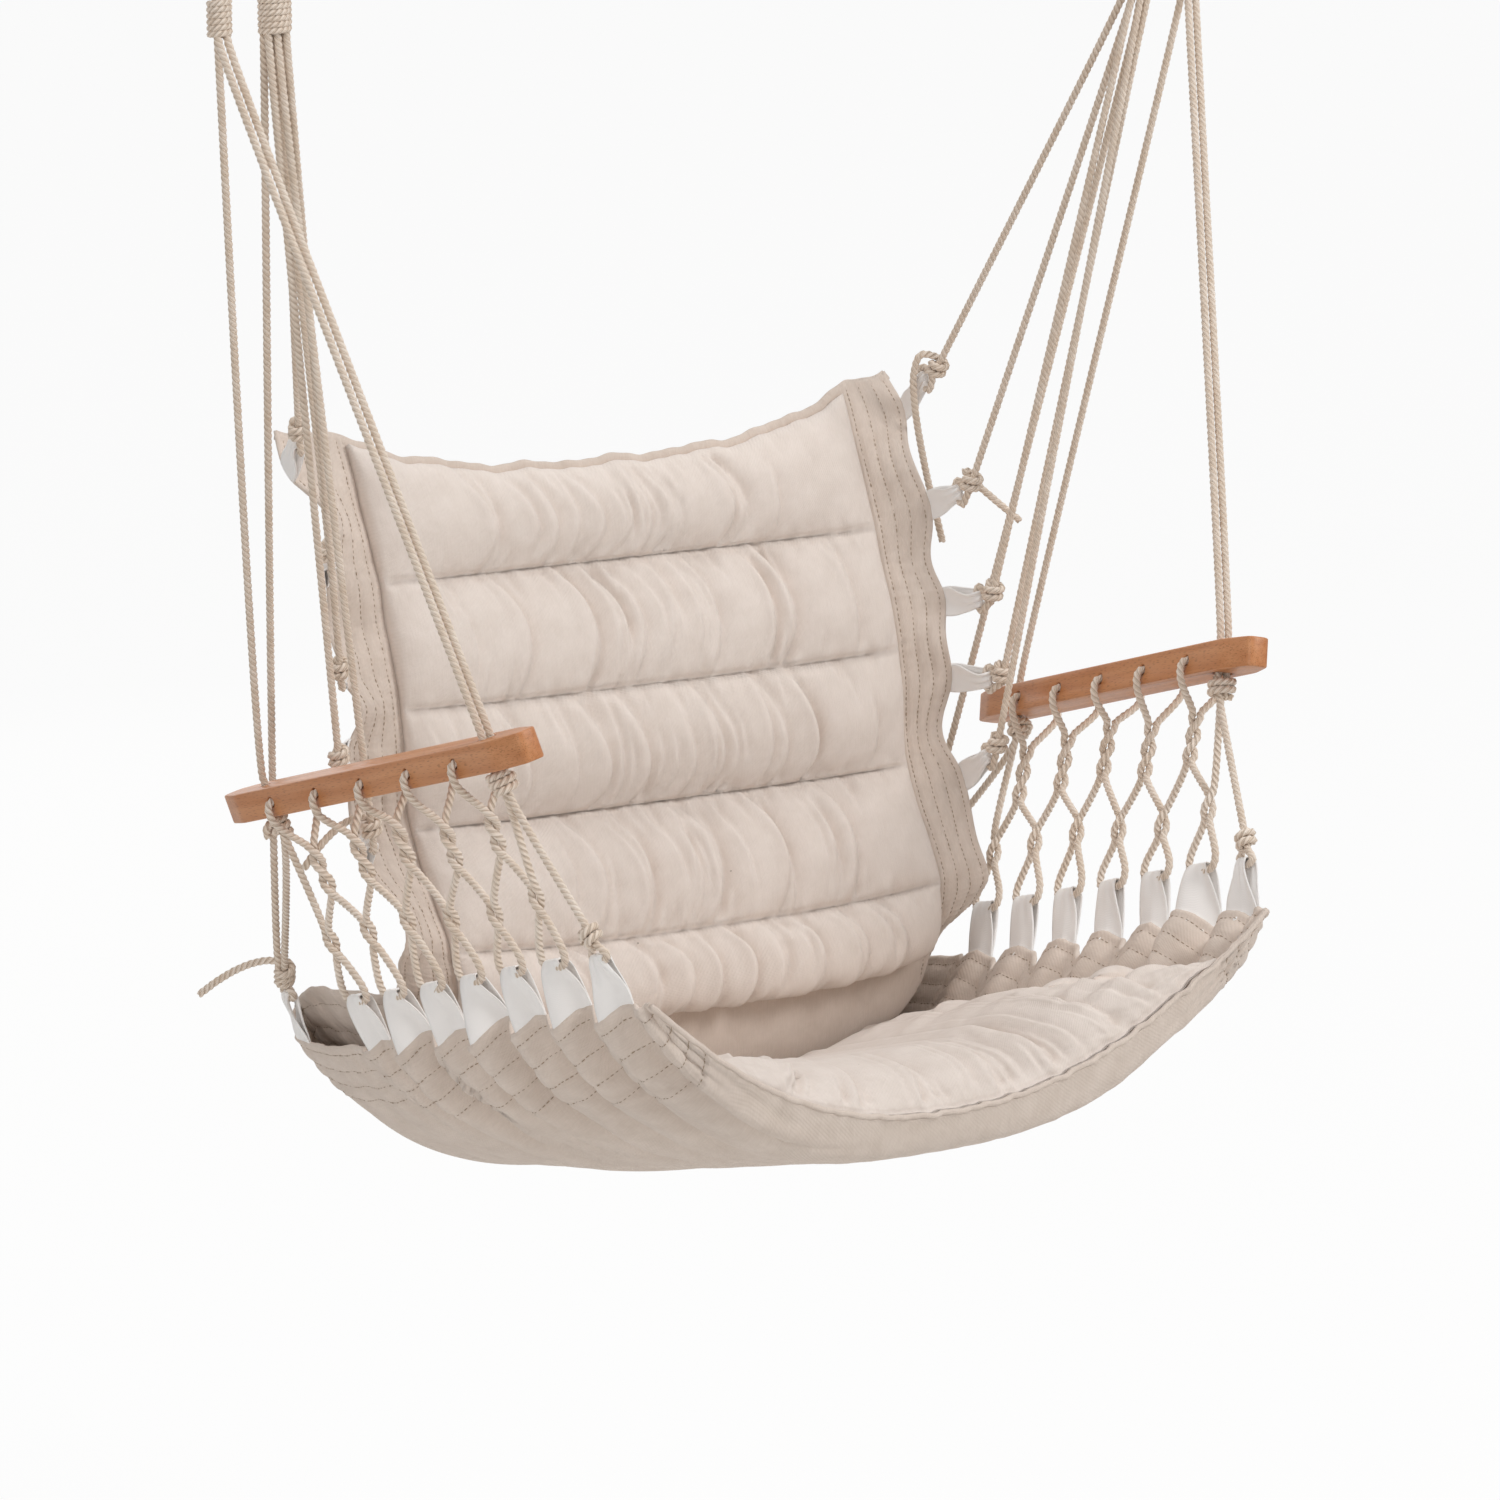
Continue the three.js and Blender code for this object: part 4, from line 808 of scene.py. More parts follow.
def seat_pad_surface(across, row, inset=0.0):
    """The pad's upper face, which turns down along a quarter of an ellipse to the sling's front edge."""
    flat_row = np.minimum(row, ROLL_ROW)
    flat = sling_point(across, flat_row, PAD_BASE + seat_pad_thickness(across, flat_row) - inset)
    crest = sling_point(across, np.full_like(row, ROLL_ROW), PAD_BASE + seat_pad_thickness(across, ROLL_ROW))
    front = sling_point(across, np.full_like(row, LAST_ROW), np.full_like(row, PAD_BASE + PAD_EDGE))
    up = sling_normal(sling_surface, across, np.full_like(row, ROLL_ROW))
    drop = ((crest - front) * up).sum(-1, keepdims=True)
    centre = crest - up * drop
    reach = front - centre
    reach_length = np.linalg.norm(reach, axis=-1, keepdims=True)
    turn = (np.clip((row - ROLL_ROW) / (LAST_ROW - ROLL_ROW), 0, 1) * np.pi / 2)[..., None]
    forward = reach * (1 - inset / reach_length)
    round_front = centre + up * (drop - inset) * np.cos(turn) + forward * np.sin(turn)
    return np.where((row <= ROLL_ROW)[..., None], flat, round_front)


pad_across, pad_row = np.meshgrid(np.linspace(-PAD_SHARE, PAD_SHARE, FINE_COLUMNS),
                                  np.linspace(PAD_FIRST_ROW, LAST_ROW, SEAT_PAD_ROWS))
seat_start = seat_pad_surface(pad_across, pad_row, SWELL_ALLOWANCE)
seat_start[-1] = seat_pad_surface(pad_across, pad_row)[-1]
seat_start = seat_start + hung(pad_across, pad_row)
sewn = np.isclose(np.abs(pad_across), PAD_SHARE)
sewn[0] = sewn[-1] = True
seat_top = sew_and_fill("seat_cover", seat_start, lambda start: start * np.array([SEAT_EASE, 1, 1]), sewn)
along_pad = (pad_row - PAD_FIRST_ROW) / (LAST_ROW - PAD_FIRST_ROW)
folded = creases(pad_across, along_pad, crease_random, SEAT_CREASE_SHARES, SEAT_CREASE_BOW,
                 SEAT_SHORT_CREASES, SEAT_PUCKERS)
normals = unit(np.cross(np.gradient(seat_start, axis=0), np.gradient(seat_start, axis=1)))
from_side = smoothstep(1 - np.abs(pad_across) / PAD_SHARE, 0, EDGE_FADE_SHARE)
from_end = smoothstep(np.minimum(along_pad, 1 - along_pad), 0, END_FADE_SHARE)
# Creases are deepest over the front roll
crease_strength = 0.35 + 0.55 * smoothstep(along_pad, 0.45, 0.95)
seat_top = seat_top + normals * (crease_strength * folded * from_end * from_side)[..., None]
pad_piece("seat_pad", seat_top, PAD_UNDERSIDE + UNDER_GAP * from_side, pad_across, pad_row, seat_start,
          "seat_cushion")


# Sewing: every hem has four rows of lockstitch, and the back pad's seams show as one row each on the canvas
# behind it. The back's top edge is bound with a folded strip of the same canvas, and the seat's front edge
# with a welt: a thin cord wrapped in canvas.
STITCH_PITCH = 4.2 * MM
STITCH_LENGTH = 2.9 * MM
STITCH_THREAD = 0.8 * MM
STITCH_PROUD_SHARE = 0.1
STITCH_SIZE_SHARES = (0.8, 1.15)
STITCH_ROUTE_POINTS = 500
SEAM_ROUTE_POINTS = 300
END_GAP_ROWS = 0.05
WELT_RADIUS = 2 * MM
BINDING_WIDTH = 9 * MM
BINDING_DEPTH = 3.4 * MM
ROLL_END_SHARE = 0.995
ROLL_POINTS = 260
ROLL_SIDES = 14


def thread_material():
    """Polyester sewing thread, a little darker and warmer than the canvas."""
    material, tree = blank_material("beige sewing thread")
    shaded_by(tree, Base_Color=linear("#A48F79"), Roughness=0.6, Specular_IOR_Level=0.4)
    return material


def new_tree(name, inputs):
    """An empty Geometry Nodes tree with named inputs, the identifier of each of them, and their outputs."""
    tree = bpy.data.node_groups.new(name, "GeometryNodeTree")
    tree.interface.new_socket("Route", in_out="INPUT", socket_type="NodeSocketGeometry")
    sockets = {}
    for label, kind in inputs.items():
        socket = tree.interface.new_socket(label, in_out="INPUT", socket_type="NodeSocket" + kind)
        sockets[label] = socket.identifier
    tree.interface.new_socket("Result", in_out="OUTPUT", socket_type="NodeSocketGeometry")
    return tree, sockets, add(tree, "NodeGroupInput")


def realized(tree, geometry, material):
    """Ends a Geometry Nodes tree: its result is real geometry in one material."""
    real = add(tree, "GeometryNodeRealizeInstances", (), {"Geometry": geometry})[0]
    painted = add(tree, "GeometryNodeSetMaterial", (), {"Geometry": real, "Material": material})[0]
    add(tree, "NodeGroupOutput", (), {"Result": painted})


def even_curve(tree, route, length):
    curve = add(tree, "GeometryNodeMeshToCurve", (), {"Mesh": route})[0]
    return add(tree, "GeometryNodeResampleCurve", {"mode": "LENGTH"}, {"Curve": curve, "Length": length})[0]


def scaled_vector(tree, vector, scale):
    return add(tree, "ShaderNodeVectorMath", {"operation": "SCALE"}, {0: vector, "Scale": scale})[0]


def stitch_tree():
    tree, sockets, given = new_tree("stitches", {"Pitch": "Float", "Length": "Float", "Thread": "Float",
                                                 "Seed": "Int", "Material": "Material"})
    curve = even_curve(tree, given["Route"], given["Pitch"])
    points = add(tree, "GeometryNodeCurveToPoints", {"mode": "EVALUATED"}, {"Curve": curve})
    bead = add(tree, "GeometryNodeMeshUVSphere", (), {"Segments": 5, "Rings": 4, "Radius": 0.5})["Mesh"]
    size = add(tree, "ShaderNodeCombineXYZ", (),
               {"X": given["Thread"], "Y": given["Thread"], "Z": given["Length"]})[0]
    lie = add(tree, "FunctionNodeAlignRotationToVector", {"axis": "Z"}, {"Vector": points["Tangent"]})[0]
    uneven = add(tree, "FunctionNodeRandomValue", {"data_type": "FLOAT"},
                 {2: STITCH_SIZE_SHARES[0], 3: STITCH_SIZE_SHARES[1], "Seed": given["Seed"]})[1]
    sewn = add(tree, "GeometryNodeInstanceOnPoints", (),
               {"Points": points["Points"], "Instance": bead, "Rotation": lie,
                "Scale": scaled_vector(tree, size, uneven)})[0]
    realized(tree, sewn, given["Material"])
    return tree, sockets


def route_mesh(name, paths, shift):
    points, edges = [], []
    for path in paths:
        edges += [(len(points) + index, len(points) + index + 1) for index in range(len(path) - 1)]
        points += (np.asarray(path) + (np.array(datum) if shift else 0)).tolist()
    mesh = bpy.data.meshes.new(name)
    mesh.from_pydata(points, edges, [])
    return mesh


def settle(obj):
    """Gives an object the mesh that its modifiers make, in place of the one it had."""
    before = obj.data
    evaluated = obj.evaluated_get(bpy.context.evaluated_depsgraph_get())
    result = bpy.data.meshes.new_from_object(evaluated)
    obj.modifiers.clear()
    obj.data = result
    bpy.data.meshes.remove(before)
    return result


def built(name, mesh, tree, sockets, values):
    """Runs a tree on a mesh and leaves its result as a plain mesh object."""
    obj = placed(name, mesh)
    modifier = obj.modifiers.new(tree.name, "NODES")
    modifier.node_group = tree
    for label, value in values.items():
        modifier[sockets[label]] = value
    result = settle(obj)
    result.name = name
    smooth_faces(result)
    return obj


thread = thread_material()
stitches, stitch_sockets = stitch_tree()


def sewn_rows(name, paths, seed):
    piece = built(name, route_mesh(name, paths, True), stitches, stitch_sockets,
                  {"Pitch": STITCH_PITCH, "Length": STITCH_LENGTH, "Thread": STITCH_THREAD, "Seed": seed,
                   "Material": thread})
    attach(piece, "chair")
    return piece


def hem_rows(first, last, face):
    rows = np.linspace(first, last, STITCH_ROUTE_POINTS)
    paths = []
    for side in SIDES.values():
        for place in stitch_places:
            across = np.full_like(rows, side * place)
            offset = face * (half_thickness(across, rows) + STITCH_THREAD * STITCH_PROUD_SHARE)
            paths.append(canvas_point(across, rows, offset))
    return paths


back_sewing = []
seat_sewing = []
for face_name, face in (("inner", 1), ("outer", -1)):
    back_rows = hem_rows(END_GAP_ROWS, BACK_END_ROW, face)
    back_sewing.append(sewn_rows(f"back_hem_stitches_{face_name}", back_rows, 1))
    seat_rows = hem_rows(BACK_END_ROW, LAST_ROW - END_GAP_ROWS, face)
    seat_sewing.append(sewn_rows(f"seat_hem_stitches_{face_name}", seat_rows, 2))


def edge_roll(name, row, sign, radius_out, radius_along, reach):
    """A soft roll along an edge of the sling: an oval section swept from side to side, with small waves."""
    across = np.linspace(-ROLL_END_SHARE, ROLL_END_SHARE, ROLL_POINTS)
    here = np.full_like(across, float(row))
    edge = canvas_point(across, here)
    along = unit(np.gradient(edge, axis=0))
    way = edge - canvas_point(across, here - sign * END_GAP_ROWS)
    way = unit(way - along * (way * along).sum(-1, keepdims=True))
    normal = np.cross(along, way)
    turn = np.linspace(0, 2 * np.pi, ROLL_SIDES, endpoint=False)
    wave = 1 + ripple(across, ROLL_RIPPLES)
    points = (edge[:, None] + way[:, None] * (reach + radius_along * np.cos(turn)[None, :, None])
              + normal[:, None] * (radius_out * wave[:, None] * np.sin(turn)[None, :])[..., None])
    index = np.arange(ROLL_POINTS * ROLL_SIDES).reshape(ROLL_POINTS, ROLL_SIDES)
    aside = np.roll(index, -1, 1)
    faces = np.stack([index[:-1], aside[:-1], aside[1:], index[1:]], -1).reshape(-1, 4).tolist()
    faces += [index[0, ::-1].tolist(), index[-1].tolist()]
    run = np.linalg.norm(np.diff(edge, axis=0, prepend=edge[:1]), axis=-1).cumsum()
    uv = np.stack(np.broadcast_arrays(run[:, None], turn[None, :] * radius_along), -1)
    roll = mesh_piece(name, points, faces, canvas, uv)
    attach(roll, "chair")
    return roll


seat_welt = edge_roll("seat_welt", LAST_ROW, 1, WELT_RADIUS, WELT_RADIUS, WELT_RADIUS * 0.8)
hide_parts("seat_front_welt")
back_binding = edge_roll("back_binding", 0, -1, BINDING_DEPTH / 2, BINDING_WIDTH / 2, BINDING_WIDTH * -0.3)

seam_across = np.linspace(-PAD_SHARE, PAD_SHARE, SEAM_ROUTE_POINTS)
seam_offset = np.full_like(seam_across, -CANVAS_THICKNESS / 2)
seam_rows = [canvas_point(seam_across, np.full_like(seam_across, seam), seam_offset)
             for seam in range(1, CHANNELS + 1)]
back_sewing.append(sewn_rows("pad_seam_stitches", seam_rows, 3))
for panel, first, last, count, loops, pieces in (
        (back_canvas, 0, BACK_END_ROW, BACK_PANEL_ROWS, "back_loop", [back_binding, *back_sewing]),
        (seat_canvas, BACK_END_ROW, LAST_ROW, SEAT_PANEL_ROWS, "seat_loop", [seat_welt, *seat_sewing])):
    flat, area = cut_of(first, last, count)


# Laid cotton rope, 6 mm thick: three strands of soft yarn, twisted together to the right. One Geometry Nodes
# tree lays it along any route, and thicker and thinner ropes and cords come from the same tree.
ROPE = 6 * MM
ROPE_RADIUS = ROPE / 2
LAY_SHARE = 2.35
STEPS_PER_LAY = 8
STRAND_RADIUS_SHARE = 0.262
STRAND_OFFSET_SHARE = 0.242
ROUTE_STEP = 2 * MM
YARN_SCALES = (260, 9, 1)
PATCH_SCALE = 60
FIBRE_RELIEF = 0.4 * MM


def rope_material():
    """Soft cotton rope: pale fibres that run round each strand, with painted shade that makes it darker and
    warmer in the grooves.
    """
    material, tree = blank_material("laid cotton rope")
    along, around = (add(tree, "ShaderNodeAttribute", {"attribute_name": name})["Fac"]
                     for name in ("along", "around"))
    place = add(tree, "ShaderNodeCombineXYZ", (), {"X": along, "Y": around})[0]
    yarns = noise(tree, stretched(tree, place, YARN_SCALES), 1, 3)
    patches = noise(tree, add(tree, "ShaderNodeTexCoord")["Object"], PATCH_SCALE, 2)
    tone = ranged(tree, mixed(tree, 0.4, patches, yarns), 0.36, 0.62)
    base = mixed_colour(tree, tone, linear("#E2D0BE"), linear("#F0E3D6"))
    # Painted shade: the side of each strand's section that lies in the rope's grooves is mixed towards a
    # darker, warmer brown
    inward = number(tree, "COSINE", number(tree, "MULTIPLY", around, 2 * math.pi))
    groove_painted_shade = number(tree, "MULTIPLY", ranged(tree, inward, 0.55, -0.5), 0.7)
    shaded_by(tree, Base_Color=mixed_colour(tree, groove_painted_shade, base, linear("#B7A28C")),
              Roughness=0.9, Specular_IOR_Level=0.25, Sheen_Weight=0.25, Sheen_Roughness=0.5,
              Normal=relief(tree, yarns, 0.6, FIBRE_RELIEF))
    return material


def stored(tree, kind, geometry, name, value):
    """Geometry with a named value kept at each of its points."""
    return add(tree, "GeometryNodeStoreNamedAttribute", {"data_type": kind, "domain": "POINT"},
               {"Geometry": geometry, "Name": name, "Value": value})[0]


def laid_rope_tree():
    tree, sockets, given = new_tree("laid rope", {"Diameter": "Float", "Lay Length": "Float",
                                                  "Strands": "Int", "Sides": "Int", "Material": "Material"})
    step = number(tree, "DIVIDE", given["Lay Length"], float(STEPS_PER_LAY))
    even = even_curve(tree, given["Route"], step)
    level = add(tree, "GeometryNodeSetCurveNormal", {"mode": "MINIMUM_TWIST"}, {"Curve": even})[0]
    copies = add(tree, "GeometryNodeDuplicateElements", {"domain": "SPLINE"},
                 {"Geometry": level, "Amount": given["Strands"]})
    # Every strand winds round the route, and the strands start evenly spaced round it
    place = add(tree, "GeometryNodeSplineParameter")
    laid = number(tree, "DIVIDE", place["Length"], given["Lay Length"])
    start = number(tree, "DIVIDE", copies["Duplicate Index"], given["Strands"])
    angle = number(tree, "MULTIPLY", number(tree, "ADD", laid, start), -2 * math.pi)
    normal = add(tree, "GeometryNodeInputNormal")[0]
    tangent = add(tree, "GeometryNodeInputTangent")[0]
    radial = add(tree, "ShaderNodeVectorRotate", {"rotation_type": "AXIS_ANGLE"},
                 {"Vector": normal, "Axis": tangent, "Angle": angle})[0]
    kept = stored(tree, "FLOAT_VECTOR", copies[0], "outward", radial)
    outward = add(tree, "GeometryNodeInputNamedAttribute", {"data_type": "FLOAT_VECTOR"},
                  {"Name": "outward"})[0]
    offset = scaled_vector(tree, outward, number(tree, "MULTIPLY", given["Diameter"], STRAND_OFFSET_SHARE))
    strands = add(tree, "GeometryNodeSetPosition", (), {"Geometry": kept, "Offset": offset})[0]
    turned = add(tree, "GeometryNodeSetCurveNormal", {"mode": "FREE"},
                 {"Curve": strands, "Normal": outward})[0]
    along = stored(tree, "FLOAT", turned, "along", place["Length"])
    radius = number(tree, "MULTIPLY", given["Diameter"], STRAND_RADIUS_SHARE)
    section = add(tree, "GeometryNodeCurvePrimitiveCircle", {"mode": "RADIUS"},
                  {"Resolution": given["Sides"], "Radius": radius})[0]
    around = stored(tree, "FLOAT", section, "around", add(tree, "GeometryNodeSplineParameter")["Factor"])
    swept = add(tree, "GeometryNodeCurveToMesh", (),
                {"Curve": along, "Profile Curve": around, "Fill Caps": True})[0]
    realized(tree, swept, given["Material"])
    return tree, sockets


rope_paint = rope_material()
rope_tree, rope_sockets = laid_rope_tree()


def rounded(route):
    """A smooth path through a route's points, with a point every few millimetres."""
    route = np.array([list(point) for point in route], float)
    lengths = np.linalg.norm(np.diff(route, axis=0), axis=1)
    places = [index + np.arange(count) / count
              for index, count in enumerate(np.maximum(np.ceil(lengths / ROUTE_STEP), 1).astype(int))]
    places = np.append(np.concatenate(places), len(route) - 1) / (len(route) - 1)
    return spline(route, places)


def rope_piece(name, routes, body, nodes, diameter=ROPE, strands=3, sides=6, shift=True):
    mesh = route_mesh(name, [rounded(route) for route in routes], shift)
    piece = built(name, mesh, rope_tree, rope_sockets,
                  {"Diameter": diameter, "Lay Length": diameter * LAY_SHARE, "Strands": strands,
                   "Sides": sides, "Material": rope_paint})
    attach(piece, body)
    if nodes:
        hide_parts(*nodes)
    return piece


def square_to(direction, axis):
    return (direction - axis * direction.dot(axis)).normalized()


def turns_round(centre, axis, first, turns, radius, length):
    """Turns of rope round an axis, from one end of a stretch of it to the other. They start towards first."""
    axis = axis.normalized()
    first = square_to(first, axis)
    second = axis.cross(first)
    count = math.ceil(abs(turns) * 10)
    route = []
    for step in range(count + 1):
        angle = 2 * math.pi * turns * step / count
        level = length * (step / count - 0.5)
        route.append(centre + radius * (math.cos(angle) * first + math.sin(angle) * second) + axis * level)
    return route


# The ring and the ropes above the chair, which the photograph leaves out: a steel ring, a rope eye bound
# under it, and two legs that part at a knot, run through the bar's ends and come up again to stopper knots.
EYE_ROPE = 9 * MM
EYE_LEG = 30 * MM
LINK_CLEARANCE = 0.6 * MM
BAR_HOLE_REACHES = (420 * MM, 338 * MM)
LEG_BEND = 16 * MM
LINK_DROP = 26 * MM
LINK_BEND = 9 * MM
LINK_ROPE = 7 * MM
LINK_LEG = 22 * MM
RING_STEPS = 96
WIRE_STEPS = 24
DRAW_MARK_SCALE = 300


def middle_of(node):
    low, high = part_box(node)
    return (low + high) / 2, high - low


def steel_material():
    """Polished steel wire: bright, with faint drawing marks."""
    material, tree = blank_material("polished steel wire")
    marks = noise(tree, add(tree, "ShaderNodeTexCoord")["Object"], DRAW_MARK_SCALE, 2)
    shaded_by(tree, Base_Color=linear("#C3C4C6"), Metallic=1.0,
              Roughness=ranged(tree, marks, 0.0, 1.0, 0.18, 0.32))
    return material


ring_middle, ring_size = middle_of("hanging_ring")
wire_radius = ring_size.y / 2
ring_radius = ring_size.x / 2 - wire_radius
turn = np.linspace(0, 2 * np.pi, RING_STEPS, endpoint=False)[:, None]
wire_turn = np.linspace(0, 2 * np.pi, WIRE_STEPS, endpoint=False)[None, :]
reach = ring_radius + wire_radius * np.cos(wire_turn)
depth = wire_radius * np.sin(wire_turn) + 0 * turn
ring_points = np.stack([reach * np.cos(turn), depth, reach * np.sin(turn)], -1) + np.array(ring_middle)
index = np.arange(RING_STEPS * WIRE_STEPS).reshape(RING_STEPS, WIRE_STEPS)
ahead = np.roll(index, -1, 0)
ring_faces = np.stack([index, np.roll(index, -1, 1), np.roll(ahead, -1, 1), ahead], -1).reshape(-1, 4)
ring = mesh_piece("steel_ring", ring_points, ring_faces.tolist(), steel_material(), shift=False)
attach(ring, "ring")
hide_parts("hanging_ring")

X, Y, Z = Vector((1, 0, 0)), Vector((0, 1, 0)), Vector((0, 0, 1))


def bight(across, centre, radius, leg, spacing):
    """A rope doubled over what it hangs on: up one leg, over in half a turn, and down beside itself."""
    arc = [centre + radius * (math.cos(angle) * across + math.sin(angle) * Z)
           for angle in np.linspace(math.pi, 0, 9)]
    foot = Z * -leg
    aside = across * spacing / 2
    return [centre + foot - aside, centre + foot * 0.7 - aside, *arc, centre + foot * 0.7 + aside,
            centre + foot + aside]


swing_point = ring_middle - Z * ring_radius
whipping_middle, whipping_size = middle_of("eye_whipping")
crotch, crotch_size = middle_of("crotch_knot")
eye_radius = wire_radius + LINK_CLEARANCE + EYE_ROPE / 2
WHIPPING_CORD = 4 * MM
eye = bight(Y, swing_point, eye_radius, EYE_LEG + whipping_size.z * 0.9, EYE_ROPE + LINK_CLEARANCE)
rope_piece("ring_eye_rope", [eye], "eye", ["ring_rope_eye"], EYE_ROPE, sides=8, shift=False)
binding = turns_round(whipping_middle, Z, X, whipping_size.z / WHIPPING_CORD,
                      whipping_size.x / 2 - WHIPPING_CORD / 2, whipping_size.z - WHIPPING_CORD)
rope_piece("ring_eye_binding", [binding], "eye", ["eye_whipping"], WHIPPING_CORD, shift=False)

# The knot where the legs part: turns of the same rope round both legs, over a short core
knot_turns = turns_round(crotch, Z, X, 2.5, crotch_size.x / 2 - EYE_ROPE / 2, crotch_size.z - EYE_ROPE)
core_reach = Z * crotch_size.z * 0.42
knot_core = [crotch + core_reach, crotch - core_reach]
rope_piece("leg_knot", [knot_turns, knot_core], "spreader", ["crotch_knot"], EYE_ROPE * 0.9, sides=8,
           shift=False)

bar_middle, bar_size = middle_of("spreader_bar")
bar_top = bar_middle.z + bar_size.z / 2
rock_level = bar_middle.z - bar_size.z / 2 - LINK_DROP
for side_name, side in SIDES.items():
    outer, inner = BAR_HOLE_REACHES
    mouth = Vector((side * outer, 0, bar_top + LEG_BEND))
    way = (mouth - crotch).normalized()
    leg = [crotch + way * (crotch_size.x / 2), crotch.lerp(mouth, 0.5), mouth - way * LEG_BEND,
           mouth - Z * LEG_BEND / 2, mouth - Z * LEG_BEND]
    for reach, inward, angles in ((outer, 1, (0, 30, 60, 90)), (inner, -1, (90, 60, 30, 0))):
        for angle in angles:
            bend = math.radians(angle)
            leg.append(Vector((side * (reach - inward * LINK_BEND * (1 - math.cos(bend))), 0,
                               rock_level + LINK_BEND * (1 - math.sin(bend)))))
    stopper = Vector((side * inner, 0, bar_top + 1.05 * EYE_ROPE))
    leg += [stopper - Z * EYE_ROPE, stopper]
    stop = turns_round(stopper, Z, X * side, 2, EYE_ROPE * 0.85, EYE_ROPE * 0.95)
    rope_piece(f"hanging_rope_{side_name}", [leg + stop[3:]], "spreader", [f"suspension_rope_{side_name}"],
               EYE_ROPE, sides=8, shift=False)


# Wood: the spreader bar is a turned rod, and each armrest a flat bar with blunt tapered ends. Both are
# varnished beech, bored for their ropes, with every edge broken.
ARMREST_SPACING = 624 * MM
ARMREST_LENGTH = 430 * MM
ARMREST_WIDTH = 32 * MM
ARMREST_THICKNESS = 22 * MM
ARMREST_TAPER_LENGTH = 30 * MM
ARMREST_TAPER_DEPTH = 8 * MM
BROKEN_EDGE = 1.3 * MM
ARMREST_CORNER = 5 * MM
ARMREST_FORWARD = 15 * MM
ARMREST_LIFT = 20 * MM
ARMREST_PITCH = math.radians(17)
ARMREST_TOE = math.radians(3.8)
ARMREST_ROLL = math.radians(12)
HOLE_COUNT = 5
HOLE_PITCH = 67 * MM
END_HOLE_REACH = 162 * MM
BORE_CLEARANCE = 0.9 * MM
SEAT_GAP = 0.3 * MM
SHARP_ANGLE = math.radians(35)
# How often the grain's streaks, bands and pores come to the metre, along it and across it
STREAK_SCALES = (6, 160, 160)
BAND_SCALES = (4, 35, 35)
PORE_SCALES = (170, 1500, 1500)
GRAIN_RELIEF = 0.3 * MM


def wood_material():
    """Oiled and varnished beech: long pale and brown streaks, and short dark pores along the grain."""
    material, tree = blank_material("varnished beech")
    grain = add(tree, "ShaderNodeAttribute", {"attribute_name": "grain"})["Vector"]
    streaks = noise(tree, stretched(tree, grain, STREAK_SCALES), 1, 4, Distortion=0.3)
    bands = noise(tree, stretched(tree, grain, BAND_SCALES), 1, 2, Distortion=0.6)
    pores = noise(tree, stretched(tree, grain, PORE_SCALES), 1, 0)
    tone = mixed(tree, 0.5, bands, streaks)
    base = mixed_colour(tree, ranged(tree, tone, 0.36, 0.64), linear("#B4703F"), linear("#CE9163"))
    dark = number(tree, "MULTIPLY", ranged(tree, pores, 0.6, 0.72), 0.45)
    shaded_by(tree, Base_Color=mixed_colour(tree, dark, base, linear("#7E4A26")),
              Roughness=0.42, Coat_Weight=0.12, Coat_Roughness=0.25, Specular_IOR_Level=0.4,
              Normal=relief(tree, tone, 0.12, GRAIN_RELIEF))
    return material


wood = wood_material()


def prism(name, outline, depth):
    """A closed solid with an outline in X and Y, and a depth along Z that is centred on zero."""
    count = len(outline)
    points = [(x, y, level) for level in (-depth / 2, depth / 2) for x, y in outline]
    faces = [tuple(range(count))[::-1], tuple(range(count, 2 * count))]
    faces += [(index, (index + 1) % count, (index + 1) % count + count, index + count)
              for index in range(count)]
    mesh = bpy.data.meshes.new(name)
    mesh.from_pydata(points, [], faces)
    return mesh


def circle(radius, steps=32):
    return [(radius * math.cos(2 * math.pi * step / steps), radius * math.sin(2 * math.pi * step / steps))
            for step in range(steps)]


def corner_arcs(points, radius, steps=4):
    """An outline with each of its corners rounded."""
    outline = []
    points = [Vector(point) for point in points]
    for index, corner in enumerate(points):
        before = (points[index - 1] - corner).normalized()
        after = (points[(index + 1) % len(points)] - corner).normalized()
        start, end = corner + before * radius, corner + after * radius
        for step in range(steps + 1):
            share = step / steps
            outline.append(tuple(start.lerp(corner, share).lerp(corner.lerp(end, share), share)))
    return outline


def wooden_piece(name, blank, bores, placing, body, node):
    """Bores a blank, breaks its edges, and sets it in its place with the grain along its own X axis."""
    piece = placed(name, blank)
    cutter_mesh = bmesh.new()
    for radius, depth, place in bores:
        drill = prism("drill", circle(radius), depth)
        drill.transform(place)
        cutter_mesh.from_mesh(drill)
        bpy.data.meshes.remove(drill)
    cutter_data = bpy.data.meshes.new("drills")
    cutter_mesh.to_mesh(cutter_data)
    cutter_mesh.free()
    cutter = placed("drills", cutter_data)
    boolean = piece.modifiers.new("bores", "BOOLEAN")
    boolean.operation = "DIFFERENCE"
    boolean.solver = "EXACT"
    boolean.object = cutter
    edges = piece.modifiers.new("edges", "BEVEL")
    edges.width = BROKEN_EDGE
    edges.segments = 3
    edges.limit_method = "ANGLE"
    edges.angle_limit = SHARP_ANGLE
    result = settle(piece)
    bpy.data.objects.remove(cutter)
    bpy.data.meshes.remove(cutter_data)
    grain = np.zeros(len(result.vertices) * 3, np.float32)
    result.vertices.foreach_get("co", grain)
    result.attributes.new("grain", "FLOAT_VECTOR", "POINT").data.foreach_set("vector", grain)
    result.transform(placing)
    result.materials.clear()
    result.materials.append(wood)
    smooth_faces(result)
    result.set_sharp_from_angle(angle=SHARP_ANGLE)
    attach(piece, body)
    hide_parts(node)


